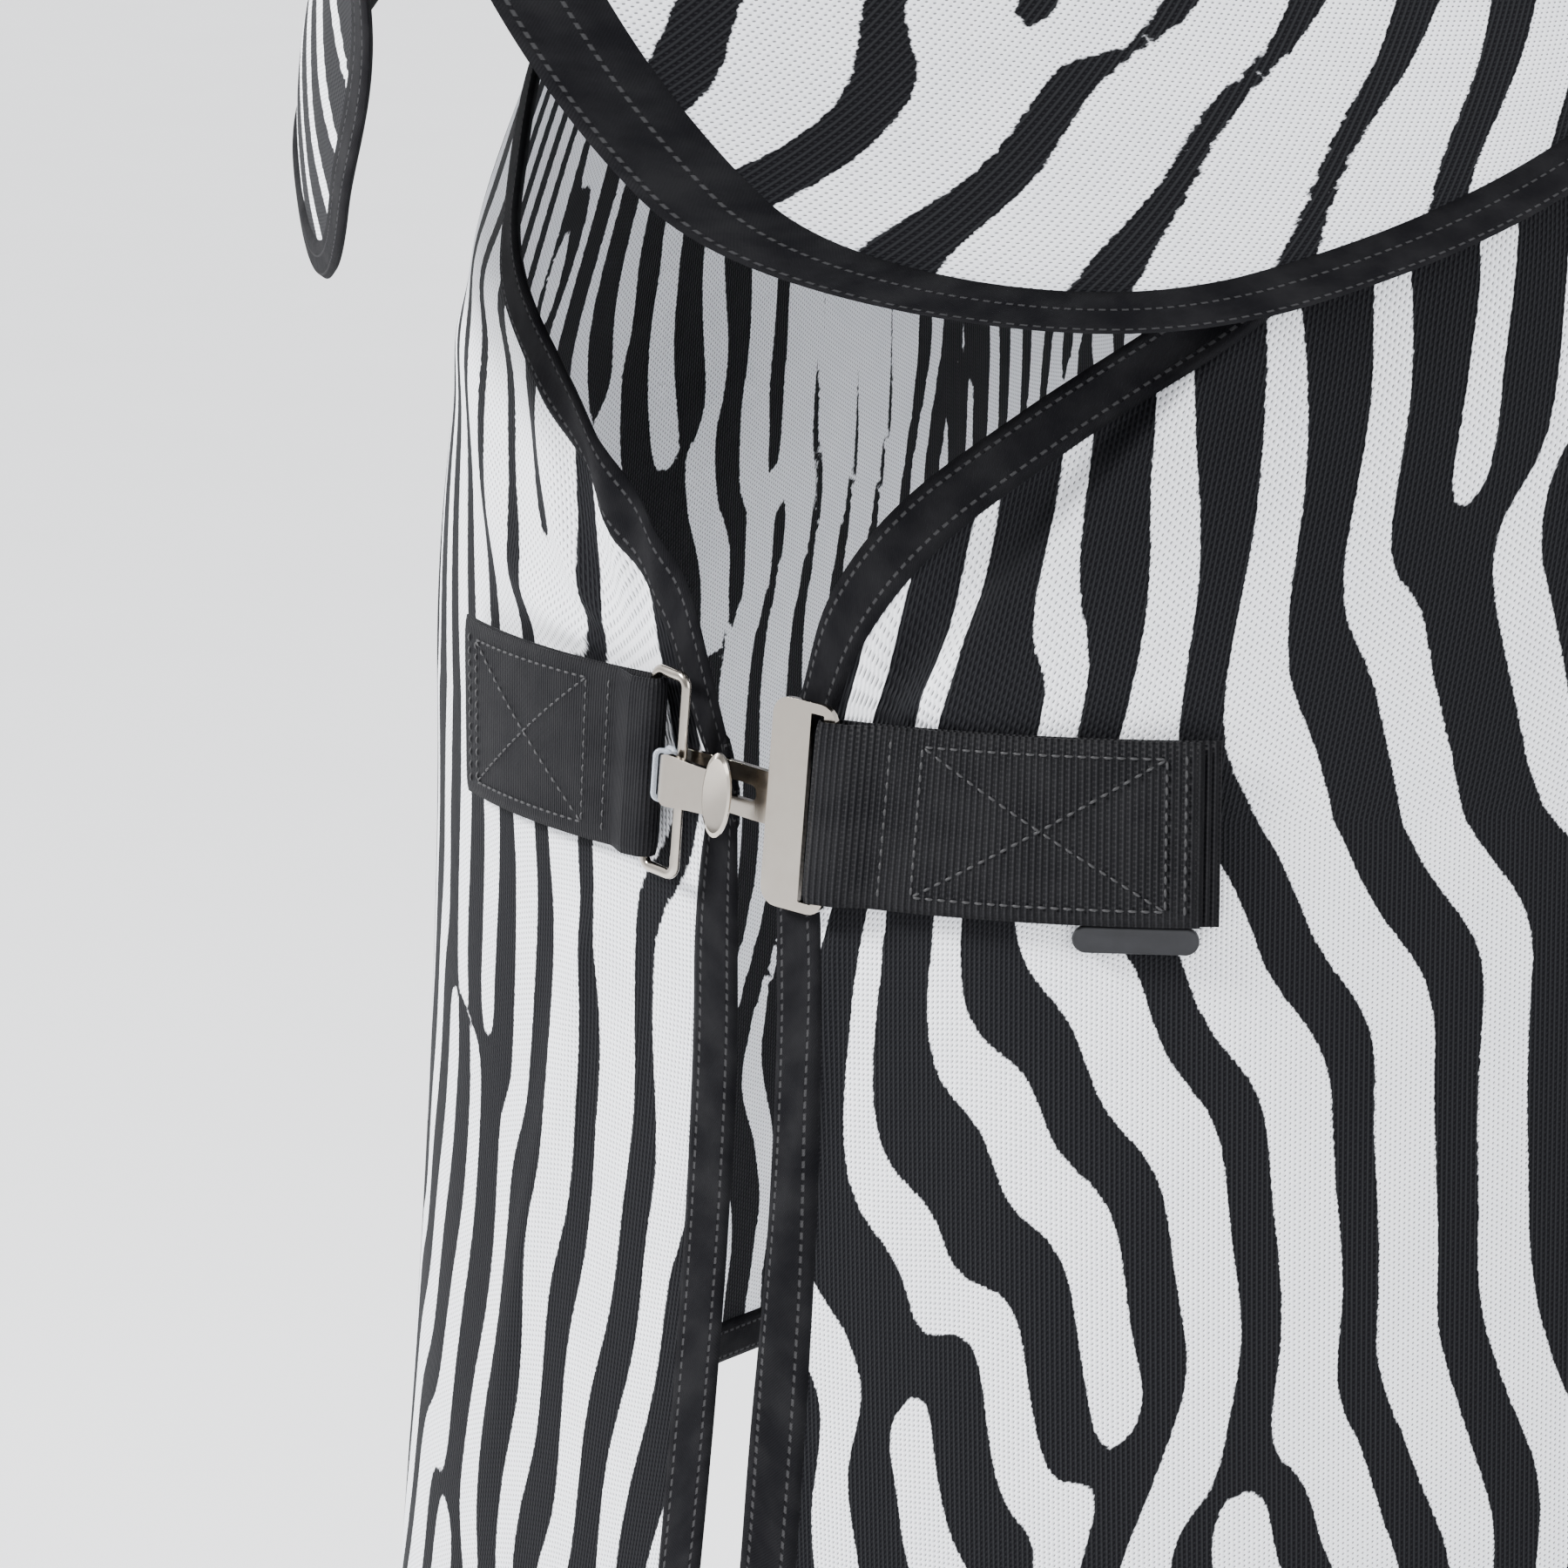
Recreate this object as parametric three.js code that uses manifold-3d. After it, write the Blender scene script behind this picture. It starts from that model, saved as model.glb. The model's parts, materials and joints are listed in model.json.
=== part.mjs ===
// Horse fly sheet with a separate neck cover, shown as worn, in millimetres.
// Origin at the withers, +Z up. The horse faces -Y and its left side is +X.
import * as THREE from 'three';
import Module from 'manifold-3d';
import { mergeVertices } from 'three/addons/utils/BufferGeometryUtils.js';

const wasm = await Module();
wasm.setup();

// ---- driving dimensions -------------------------------------------------
const rearY = 1320;             // rear edge of the sheet on the spine
const witherY = -70;            // front of the sheet on the spine
const chestY = -540;            // front line of the chest
const closureZ = -430;          // height of the chest closure
const hemZ = -740;              // lower edge of the sheet
const sideZ = -350;             // height where the sides start to hang straight
const chestHalfWidth = 250;
const chestDepth = 300;         // from the chest front back to the shoulder
const barrelHalfWidth = 310;
const rumpHalfWidth = 245;
const fanEndY = 140;            // where the columns that fan from the neckline end on the side
const backDip = 45;
const croupDrop = 120;
const frontFlare = 24;          // how far the front hem stands forward
const sideFlare = 4;
const hemCorner = 60;           // rise of the rounded hem corners
const frontGap = 6.5;           // half of the gap between the two front edges

const clothThick = 2;
const bindingThick = 3;
const bindingWidth = 15;
const neckBindingWidth = 19;
const seamGap = 0.35;           // clearance between sewn neighbours
const tapeWidth = 32;
const tapeThick = 1.6;

const pollCrest = new THREE.Vector3(0, -700, 480);
const pollThroat = new THREE.Vector3(0, -870, 200);
const pollHalfWidth = 92;
const throatGap = 5;            // half of the gap between the closed throat edges
const neckOverlap = 52;         // neck cover hem beyond the sheet's neckline
const neckLift = 9;             // neck cover above the sheet where they overlap
const flapLift = 22;            // extra lift at the loose front corners
const flapFlare = 44;           // bulge of the loose right flap

const webbing = 50;             // chest webbing width
const webbingThick = 1.7;
const closureTilt = THREE.MathUtils.degToRad(5);
const hookPlateHeight = 58;
const ringHeight = 58.4;
const ringWidth = 16;
const ringWire = 3.2;
const tongueHeight = 14.5;
const headHeight = 23.5;
const metalThick = 1.8;

const chestStrapEnd = 130;      // far end of each chest strap, from the chest centre
const tailFlapLength = 420;
const tailFlapWidth = 290;
const bellyWebbing = 40;
const bellyZ = -800;            // lowest point of the crossed belly straps
const bellyFrontY = 170;
const bellyRearY = 520;
const bellySideZ = -640;        // height of the belly hooks
const throatTabWidth = 38;
const throatTabReach = 36;      // each side of the throat

// ---- colours ------------------------------------------------------------
const finishes = {
  print: { color: 0xe9eaee, roughness: 0.85, metalness: 0 },
  tape: { color: 0x131314, roughness: 0.9, metalness: 0 },
  web: { color: 0x0c0c0d, roughness: 0.7, metalness: 0 },
  nickel: { color: 0xc9c4bc, roughness: 0.2, metalness: 1 },
  silicone: { color: 0xdfe3ee, roughness: 0.15, metalness: 0 },
  rubber: { color: 0x2b2d30, roughness: 0.55, metalness: 0 },
};

const group = new THREE.Group();

function add(name, geometry, finish) {
  const mesh = new THREE.Mesh(geometry, new THREE.MeshStandardMaterial(finishes[finish]));
  mesh.name = name;
  group.add(mesh);
}

// ---- small helpers --------------------------------------------------------
const V = (x, y, z) => new THREE.Vector3(x, y, z);
const clamp01 = (x) => Math.min(1, Math.max(0, x));
const lerp = THREE.MathUtils.lerp;

function smooth(low, high, x) {
  const k = clamp01((x - low) / (high - low));
  return k * k * (3 - 2 * k);
}

// Uniform Catmull-Rom curve through the points, at a share k of its knots.
function catmull(points, k) {
  const last = points.length - 1;
  const at = Math.min(clamp01(k) * last, last - 1e-9);
  const i = Math.floor(at);
  const s = at - i;
  const p1 = points[i];
  const p2 = points[i + 1];
  const p0 = i > 0 ? points[i - 1] : p1.clone().multiplyScalar(2).sub(p2);
  const p3 = i + 2 <= last ? points[i + 2] : p2.clone().multiplyScalar(2).sub(p1);
  const mix = (a, b, c, d) => 0.5 * (2 * b + (c - a) * s + (2 * a - 5 * b + 4 * c - d) * s * s
    + (3 * b - a - 3 * c + d) * s * s * s);
  return V(mix(p0.x, p1.x, p2.x, p3.x), mix(p0.y, p1.y, p2.y, p3.y), mix(p0.z, p1.z, p2.z, p3.z));
}

// A polyline with its running length, to be walked by distance.
function measured(points) {
  const run = [0];
  for (let i = 1; i < points.length; i += 1) {
    run.push(run[i - 1] + points[i].distanceTo(points[i - 1]));
  }
  return { points, run, length: run[run.length - 1] };
}

function walk(line, distance) {
  let low = 0;
  let high = line.points.length - 2;
  while (low < high) {
    const middle = Math.ceil((low + high) / 2);
    if (line.run[middle] <= distance) {
      low = middle;
    } else {
      high = middle - 1;
    }
  }
  const k = (distance - line.run[low]) / (line.run[low + 1] - line.run[low]);
  return line.points[low].clone().lerp(line.points[low + 1], k);
}

// ---- the body sheet's surface, left half ---------------------------------
const samples = 240;

function halfWidth(y) {
  const shoulderY = chestY + chestDepth;
  const widen = smooth(shoulderY, 350, y);
  const narrow = smooth(820, rearY, y);
  return lerp(lerp(chestHalfWidth, barrelHalfWidth, widen), rumpHalfWidth, narrow);
}

function planAt(k) {
  if (k <= 1) {
    const angle = k * Math.PI / 2;
    const x = frontGap + (chestHalfWidth - frontGap) * Math.sin(angle);
    return V(x, chestY + chestDepth * (1 - Math.cos(angle)), 0);
  }
  const y = lerp(chestY + chestDepth, rearY, k - 1);
  return V(halfWidth(y), y, 0);
}

const plan = measured(Array.from({ length: samples + 1 }, (_, i) => planAt(2 * i / samples)));

function planDistanceAt(y) {
  const i = plan.points.findIndex((p) => p.y >= y);
  const back = plan.points[i - 1];
  const k = (y - back.y) / (plan.points[i].y - back.y);
  return lerp(plan.run[i - 1], plan.run[i], k);
}

const frontLength = planDistanceAt(fanEndY);
const bodyLength = plan.length;

function planNormal(t) {
  const before = walk(plan, Math.max(0, t - 3));
  const after = walk(plan, Math.min(plan.length, t + 3));
  const along = after.sub(before).normalize();
  return V(along.y, -along.x, 0);
}

// Neckline from the chest closure up round the neck's base to the withers.
const neckline = (() => {
  const knots = [
    V(frontGap, chestY, closureZ),
    V(15, chestY, closureZ + 30),
    V(24, chestY, closureZ + 56),
    V(44, chestY + 3, closureZ + 82),
    V(74, chestY + 17, closureZ + 108),
    V(118, chestY + 54, closureZ + 146),
    V(152, chestY + 120, closureZ + 198),
    V(168, chestY + 212, closureZ + 264),
    V(158, chestY + 318, closureZ + 336),
    V(112, chestY + 412, closureZ + 396),
    V(54, witherY - 12, -7),
    V(0, witherY, 0),
  ];
  return measured(Array.from({ length: samples + 1 }, (_, i) => catmull(knots, i / samples)));
})();

function spineZ(y) {
  const dip = Math.abs(y - 420) < 490 ? 0.5 * (1 + Math.cos(Math.PI * (y - 420) / 490)) : 0;
  return -backDip * dip - croupDrop * smooth(880, rearY + 60, y);
}

function topPoint(t) {
  if (t < frontLength) {
    return walk(neckline, t / frontLength * neckline.length);
  }
  const y = lerp(witherY, rearY, (t - frontLength) / (bodyLength - frontLength));
  return V(0, y, spineZ(y));
}

function hemHeight(t) {
  const front = 1 - clamp01(t / 90);
  const rear = 1 - clamp01((bodyLength - t) / 140);
  return hemZ + hemCorner * (front * front + 1.4 * rear * rear);
}

// One column of the cloth from its top edge to the hem.
const columns = new Map();

function column(t) {
  if (!columns.has(t)) {
    columns.set(t, newColumn(t));
  }
  return columns.get(t);
}

function newColumn(t) {
  const share = clamp01(t / frontLength);
  const top = topPoint(t);
  const foot = walk(plan, t);
  const bend = lerp(sideZ, closureZ - 60, (1 - share) ** 1.5);
  const start = Math.PI / 180 * 62 * (1 - share);
  const curved = Math.hypot(foot.x - top.x, foot.y - top.y, top.z - bend) * 1.08;
  const hem = hemHeight(t);
  const length = curved + bend - hem;
  return { top, foot, bend, start, curved, hem, length, out: planNormal(t), share };
}

function columnPoint(c, distance) {
  if (distance < c.curved) {
    const phi = lerp(c.start, Math.PI / 2, clamp01(distance / c.curved));
    const s0 = Math.sin(c.start);
    const across = (Math.sin(phi) - s0) / (1 - s0);
    const down = 1 - Math.cos(phi) / Math.cos(c.start);
    return V(lerp(c.top.x, c.foot.x, across), lerp(c.top.y, c.foot.y, across),
      lerp(c.top.z, c.bend, down));
  }
  const fall = (distance - c.curved) / (c.length - c.curved);
  const stand = lerp(frontFlare, sideFlare, c.share) * fall ** 1.5;
  return V(c.foot.x + c.out.x * stand, c.foot.y + c.out.y * stand, lerp(c.bend, c.hem, fall));
}

// t is the distance along the plan curve, d the distance down the column.
function bodyPoint(t, d) {
  return columnPoint(column(t), d);
}

// ---- the neck cover's surface, left half ----------------------------------
const flapStart = 0.185 * frontLength;

const throatEdge = [
  V(112, chestY - 6, closureZ + 92),
  V(82, chestY - 50, closureZ + 122),
  V(48, chestY - 98, closureZ + 162),
  V(21, chestY - 132, closureZ + 214),
  V(9, chestY - 172, closureZ + 290),
  V(5, chestY - 222, closureZ + 390),
  V(5, chestY - 272, closureZ + 490),
  V(5, chestY - 308, closureZ + 570),
  V(5, pollThroat.y, pollThroat.z),
];

function surfaceNormal(point, a, b, stepA, stepB) {
  const da = point(a + stepA, b).sub(point(a - stepA, b));
  const db = point(a, b + stepB).sub(point(a, b - stepB));
  return da.cross(db).normalize();
}

function bodyNormal(t, d) {
  return surfaceNormal(bodyPoint, Math.max(t, 3), Math.max(d, 3), 2, 2).negate();
}

// q runs from the throat edge to the crest, w from the hem to the poll.
const neckColumns = new Map();

function neckColumn(q) {
  if (!neckColumns.has(q)) {
    neckColumns.set(q, newNeckColumn(q));
  }
  return neckColumns.get(q);
}

function newNeckColumn(q) {
  const t = lerp(flapStart, frontLength + neckOverlap, q);
  const below = neckOverlap * Math.sin(Math.PI * (0.12 + 0.88 * q));
  const lift = neckLift + flapLift * (1 - q) ** 4;
  const out = bodyNormal(t, below);
  const hem = bodyPoint(t, Math.max(0, below)).addScaledVector(out, lift);
  const edge = bodyPoint(Math.min(t, frontLength), 0).addScaledVector(out, lift);
  if (q > 0.999) {
    hem.x = 0;
    edge.x = 0;
  }
  const angle = Math.PI * q;
  const poll = pollThroat.clone().lerp(pollCrest, (1 - Math.cos(angle)) / 2);
  poll.x = pollHalfWidth * Math.sin(angle) + throatGap * (1 - q);
  const chord = poll.clone().sub(hem).normalize();
  const leave = edge.sub(hem).normalize().lerp(chord, 1 - 0.8 * (1 - q) ** 0.8).setLength(260);
  return { hem, poll, leave };
}

const forward = V(0, pollThroat.z - pollCrest.z, pollCrest.y - pollThroat.y).setLength(420);

function neckRaw(q, w) {
  const { hem, poll, leave } = neckColumn(q);
  const w2 = w * w;
  const w3 = w2 * w;
  return V(0, 0, 0)
    .addScaledVector(hem, 1 - 3 * w2 + 2 * w3)
    .addScaledVector(leave, w - 2 * w2 + w3)
    .addScaledVector(poll, 3 * w2 - 2 * w3)
    .addScaledVector(forward, w3 - w2);
}

function neckPoint(q, w) {
  const pull = catmull(throatEdge, w ** 0.8).sub(neckRaw(0, w));
  return neckRaw(q, w).addScaledVector(pull, (1 - q) ** 4);
}

// The hem rises in a wide round corner towards the throat edge.
function hemStart(q) {
  return 0.085 * (1 - clamp01(q / 0.24)) ** 2;
}

const flapSag = V(-0.86, -0.5, 0);

// side is +1 for the horse's left, -1 for its right; v runs 0..1 from hem to poll.
function neckSide(side) {
  return (q, v) => {
    const w = lerp(hemStart(q), 1, v);
    const p = neckPoint(q, w);
    if (side > 0) {
      return p;
    }
    const across = q < 0.22 ? lerp(0.35, 1, smooth(0, 0.22, q)) : 1 - smooth(0.22, 0.62, q);
    const amount = flapFlare * across * (1 - smooth(0.02, 0.36, w));
    return V(-p.x, p.y, p.z).addScaledVector(flapSag, amount);
  };
}

function bodySide(side) {
  return (t, d) => {
    const p = bodyPoint(t, d);
    return V(side * p.x, p.y, p.z);
  };
}

// ---- closed shells on a surface -------------------------------------------
function indexed(positions, triangles) {
  const geometry = new THREE.BufferGeometry();
  const numbers = positions.flatMap((p) => p.toArray());
  geometry.setAttribute('position', new THREE.Float32BufferAttribute(numbers, 3));
  geometry.setIndex(triangles.flat());
  return outward(geometry);
}

function outward(geometry) {
  const position = geometry.getAttribute('position');
  const index = geometry.getIndex();
  let volume = 0;
  for (let i = 0; i < index.count; i += 3) {
    const corners = [0, 1, 2].map((k) => V(0, 0, 0).fromBufferAttribute(position, index.getX(i + k)));
    volume += corners[0].dot(corners[1].cross(corners[2]));
  }
  if (volume < 0) {
    for (let i = 0; i < index.count; i += 3) {
      const keep = index.getX(i);
      index.setX(i, index.getX(i + 1));
      index.setX(i + 1, keep);
    }
  }
  return geometry;
}

// A closed solid through a loop or a row of equal rings of points.
function loft(rings, closed) {
  const n = rings[0].length;
  const faces = [];
  const last = closed ? rings.length : rings.length - 1;
  for (let i = 0; i < last; i += 1) {
    const next = (i + 1) % rings.length;
    for (let j = 0; j < n; j += 1) {
      const k = (j + 1) % n;
      faces.push([i * n + j, next * n + j, next * n + k], [i * n + j, next * n + k, i * n + k]);
    }
  }
  if (!closed) {
    const end = (rings.length - 1) * n;
    for (let j = 1; j < n - 1; j += 1) {
      faces.push([0, j, j + 1], [end, end + j + 1, end + j]);
    }
  }
  return indexed(rings.flat(), faces);
}

// A cloth of even thickness on a surface: one list of (a, b) corners per column.
// Its inner face lies `lift` outside the surface, and out is +1 or -1.
function shell(corners, surface, steps, out, thick, lift, keep = (p) => p) {
  const rings = corners.map((line) => {
    const inner = [];
    const outer = [];
    for (const [a, b] of line) {
      const p = surface(a, b);
      const n = surfaceNormal(surface, steps.clampA(a), steps.clampB(b), steps.a, steps.b);
      inner.push(keep(p.clone().addScaledVector(n, out * lift)));
      outer.push(keep(p.clone().addScaledVector(n, out * (lift + thick))));
    }
    return [...inner, ...outer.reverse()];
  });
  const n = rings[0].length;
  const half = n / 2;
  const faces = [];
  for (let i = 0; i < rings.length - 1; i += 1) {
    for (let j = 0; j < n; j += 1) {
      const k = (j + 1) % n;
      faces.push([i * n + j, (i + 1) * n + j, (i + 1) * n + k], [i * n + j, (i + 1) * n + k, i * n + k]);
    }
  }
  const end = (rings.length - 1) * n;
  for (let j = 0; j < half - 1; j += 1) {
    const a = j;
    const b = j + 1;
    const c = n - 2 - j;
    const d = n - 1 - j;
    faces.push([a, b, c], [a, c, d], [end + a, end + c, end + b], [end + a, end + d, end + c]);
  }
  return indexed(rings.flat(), faces);
}

const bodySteps = {
  a: 2,
  b: 2,
  clampA: (t) => Math.min(Math.max(t, 2.5), bodyLength - 2.5),
  clampB: (d) => Math.max(d, 2.5),
};
const neckSteps = {
  a: 0.004,
  b: 0.004,
  clampA: (q) => Math.min(Math.max(q, 0.005), 0.995),
  clampB: (v) => Math.min(Math.max(v, 0.005), 0.995),
};
const sides = [['left', 1], ['right', -1]];
const halfCloth = clothThick / 2;
const halfBinding = bindingThick / 2;

const spread = (count, from, to, power = 1) =>
  Array.from({ length: count + 1 }, (_, i) => lerp(from, to, (i / count) ** power));

// Keeps each half on its own side of the centre seam.
const ownSide = (side) => (p) => p.setX(side * Math.max(side * p.x, seamGap / 2));

// ---- body panels and their bindings ----------------------------------------
const inset = bindingWidth + seamGap;
const frontColumns = spread(14, inset, frontLength, 1.25);
const rearColumns = spread(11, frontLength + 4, bodyLength - inset);

for (const [sideName, side] of sides) {
  const sew = (name, corners, thick, finish) => {
    const geometry = shell(corners, bodySide(side), bodySteps, -side, thick, -thick / 2, ownSide(side));
    add(`${name}_${sideName}`, geometry, finish);
  };
  const down = (t, from, to, rows) => spread(rows, from, to).map((d) => [t, d]);
  sew('body_panel', [
    ...frontColumns.map((t) => down(t, inset, column(t).length - inset, 12)),
    ...rearColumns.map((t) => down(t, seamGap, column(t).length - inset, 12)),
  ], clothThick, 'print');
  sew('front_binding', [0, bindingWidth].map((t) => down(t, 0, column(t).length, 12)), bindingThick, 'tape');
  sew('neckline_binding', frontColumns.map((t) => down(t, 0, bindingWidth, 1)), bindingThick, 'tape');
  sew('hem_binding', [...frontColumns, ...rearColumns].map((t) => {
    const { length } = column(t);
    return down(t, length - bindingWidth, length, 1);
  }), bindingThick, 'tape');
  sew('rear_binding', [bodyLength - bindingWidth, bodyLength].map(
    (t) => down(t, seamGap, column(t).length, 12)), bindingThick, 'tape');
}

// The tape that covers the seam along the spine.
const acrossSpine = (surfaceAt) => (t, s) => {
  const p = surfaceAt(t, Math.abs(s));
  return V(Math.sign(s) * p.x, p.y, p.z);
};
const spineTape = [...rearColumns, bodyLength]
  .map((t) => spread(4, -tapeWidth / 2, tapeWidth / 2).map((s) => [t, s]));
add('spine_tape', shell(spineTape, acrossSpine(bodyPoint), { ...bodySteps, clampB: (d) => d }, -1,
  tapeThick, halfBinding + seamGap), 'tape');

// ---- neck cover ---------------------------------------------------------------
function neckGirth(v) {
  const line = measured(spread(24, 0, 1).map((q) => neckSide(1)(q, v)));
  return line.length;
}

function neckRise(q) {
  return measured(spread(24, 0, 1).map((v) => neckSide(1)(q, v))).length;
}

const neckRows = 12;
const neckShares = spread(16, 0, 1, 1.2);
const edgeShare = (v) => neckBindingWidth / neckGirth(v);
const hemShare = (q) => neckBindingWidth / neckRise(q);
const gapShare = seamGap / 600;
const middle = spread(neckRows, hemShare(0.1) + gapShare, 1 - hemShare(0.5) - gapShare);
const heights = [0, ...middle, 1];
const low = middle[0] - gapShare;
const high = middle[neckRows] + gapShare;

for (const [sideName, side] of sides) {
  const sew = (name, corners, thick, finish) => {
    const geometry = shell(corners, neckSide(side), neckSteps, side, thick, -thick / 2, ownSide(side));
    add(`${name}_${sideName}`, geometry, finish);
  };
  const startOf = (v) => edgeShare(clamp01(v)) + gapShare;
  const columnsOf = neckShares.map((k) => (v) => lerp(startOf(v), 1 - gapShare, k));
  sew('neck_panel', columnsOf.map((qAt) => middle.map((v) => [qAt(v), v])), clothThick, 'print');
  const throatColumns = spread(3, 0, 1).map((k) => heights.map((v) => [k * edgeShare(v), v]));
  sew('throat_binding', throatColumns, bindingThick, 'tape');
  sew('neck_hem_binding', columnsOf.map((qAt) => [[qAt(0), 0], [qAt(low), low]]), bindingThick, 'tape');
  sew('poll_binding', columnsOf.map((qAt) => [[qAt(high), high], [qAt(1), 1]]), bindingThick, 'tape');
}

const acrossCrest = (s, v) => {
  const p = neckSide(1)(1 - Math.abs(s), v);
  return V(Math.sign(s) * p.x, p.y, p.z);
};
const crestShare = tapeWidth / 2 / (Math.PI * pollHalfWidth);
const crestTape = spread(4, -crestShare, crestShare).map((s) => heights.map((v) => [s, v]));
add('crest_tape', shell(crestTape, acrossCrest, { ...neckSteps, clampA: (s) => s }, -1,
  tapeThick, halfBinding + 5 * seamGap), 'tape');

// ---- flat profiles ------------------------------------------------------------
function outline(points, holes = []) {
  const shape = new THREE.Shape(points.map(([x, y]) => new THREE.Vector2(x, y)));
  shape.holes = holes.map((hole) => new THREE.Path(hole.map(([x, y]) => new THREE.Vector2(x, y))));
  return shape;
}

// Corner points of a rectangle with round corners, centred on (x, y).
function roundRect(x, y, width, height, radius, steps = 5) {
  const points = [];
  const corners = [[1, 1, 0], [-1, 1, 90], [-1, -1, 180], [1, -1, 270]];
  for (const [sx, sy, from] of corners) {
    for (let i = 0; i <= steps; i += 1) {
      const angle = THREE.MathUtils.degToRad(from + 90 * i / steps);
      points.push([
        x + sx * (width / 2 - radius) + radius * Math.cos(angle),
        y + sy * (height / 2 - radius) + radius * Math.sin(angle),
      ]);
    }
  }
  return points;
}

function plain(geometry) {
  geometry.deleteAttribute('normal');
  geometry.deleteAttribute('uv');
  return mergeVertices(geometry, 1e-4);
}

function extrude(shape, depth) {
  return plain(new THREE.ExtrudeGeometry(shape, { depth, bevelEnabled: false, curveSegments: 12 }));
}

function deform(geometry, place) {
  const position = geometry.getAttribute('position');
  for (let i = 0; i < position.count; i += 1) {
    const p = place(V(0, 0, 0).fromBufferAttribute(position, i));
    position.setXYZ(i, p.x, p.y, p.z);
  }
  return outward(geometry);
}

function toSolid(geometry) {
  const vertProperties = new Float32Array(geometry.getAttribute('position').array);
  const triVerts = new Uint32Array(outward(geometry).getIndex().array);
  return new wasm.Manifold(new wasm.Mesh({ numProp: 3, vertProperties, triVerts }));
}

function fromSolid(solid) {
  const mesh = solid.getMesh();
  const geometry = new THREE.BufferGeometry();
  geometry.setAttribute('position', new THREE.Float32BufferAttribute(mesh.vertProperties, 3));
  geometry.setIndex(Array.from(mesh.triVerts));
  return plain(geometry);
}

// A closed round-cornered wire loop in the plane of the axes e1 and e2.
function wireLoop(centre, e1, e2, width, height, wire, radius, flat = 1) {
  const path = roundRect(0, 0, width - wire, height - wire, radius, 5);
  const e3 = e1.clone().cross(e2);
  const rings = path.map(([x, y], i) => {
    const [bx, by] = path[(i + path.length - 1) % path.length];
    const [nx, ny] = path[(i + 1) % path.length];
    const side = V(ny - by, bx - nx, 0).normalize();
    return spread(10, 0, 2 * Math.PI).slice(0, 10).map((a) => {
      const away = wire / 2 * Math.cos(a);
      return centre.clone()
        .addScaledVector(e1, x + side.x * away)
        .addScaledVector(e2, y + side.y * away)
        .addScaledVector(e3, wire / 2 * flat * Math.sin(a));
    });
  });
  return loft(rings, true);
}

// ---- hook and ring, in a local frame: a across, u up, f away from the cloth -----
const strapLift = halfBinding + 0.7;
const slotBar = 3.8;
const plateNear = 7.2;
const plateFar = 27.4;
const barA = plateFar - slotBar / 2;
const loopHole = [5.6, 3.6];
const ringHole = [ringWire + 1.4, ringWire + 1.4];
const loopMiddle = (hole) => strapLift + webbingThick + hole[1] / 2;

// Where a point s along the chest and f outside the cloth lies in the local frame.
function chestSpot(s, f) {
  const base = walk(plan, s - frontGap);
  const out = planNormal(s - frontGap);
  return { a: base.x + out.x * f, f: chestY - base.y - out.y * f };
}

// The distance along the chest whose loop centre lies at a.
function alongFor(a, hole) {
  const guess = chestSpot(a, loopMiddle(hole)).a;
  return a - (guess - a);
}

const barS = alongFor(barA, loopHole);
const barF = chestSpot(barS, loopMiddle(loopHole)).f;
const backLegF = barF - 1.6;
const bendRadius = 4.5;
const bendA = -20.5;
const ringBarA = -19.9;
const headRadius = 4.2;         // of the round head, before it is stretched to its height
const ringS = alongFor(ringWidth - ringWire - ringBarA, ringHole);
const ringLoopF = chestSpot(ringS, loopMiddle(ringHole)).f;
const ringLean = Math.asin((backLegF + bendRadius - ringLoopF) / (ringWidth - ringWire));
const ringLoopA = ringBarA - (ringWidth - ringWire) * Math.cos(ringLean);

function ribbon(path) {
  const rings = path.map(([a, f, height], i) => {
    const [a0, f0] = path[Math.max(0, i - 1)];
    const [a1, f1] = path[Math.min(path.length - 1, i + 1)];
    const side = V(f0 - f1, 0, a1 - a0).setLength(metalThick / 2);
    const corners = [[1, -1], [1, 1], [-1, 1], [-1, -1]];
    return corners.map(([k, up]) => V(a + k * side.x, up * height / 2, f + k * side.z));
  });
  return loft(rings, false);
}

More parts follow.
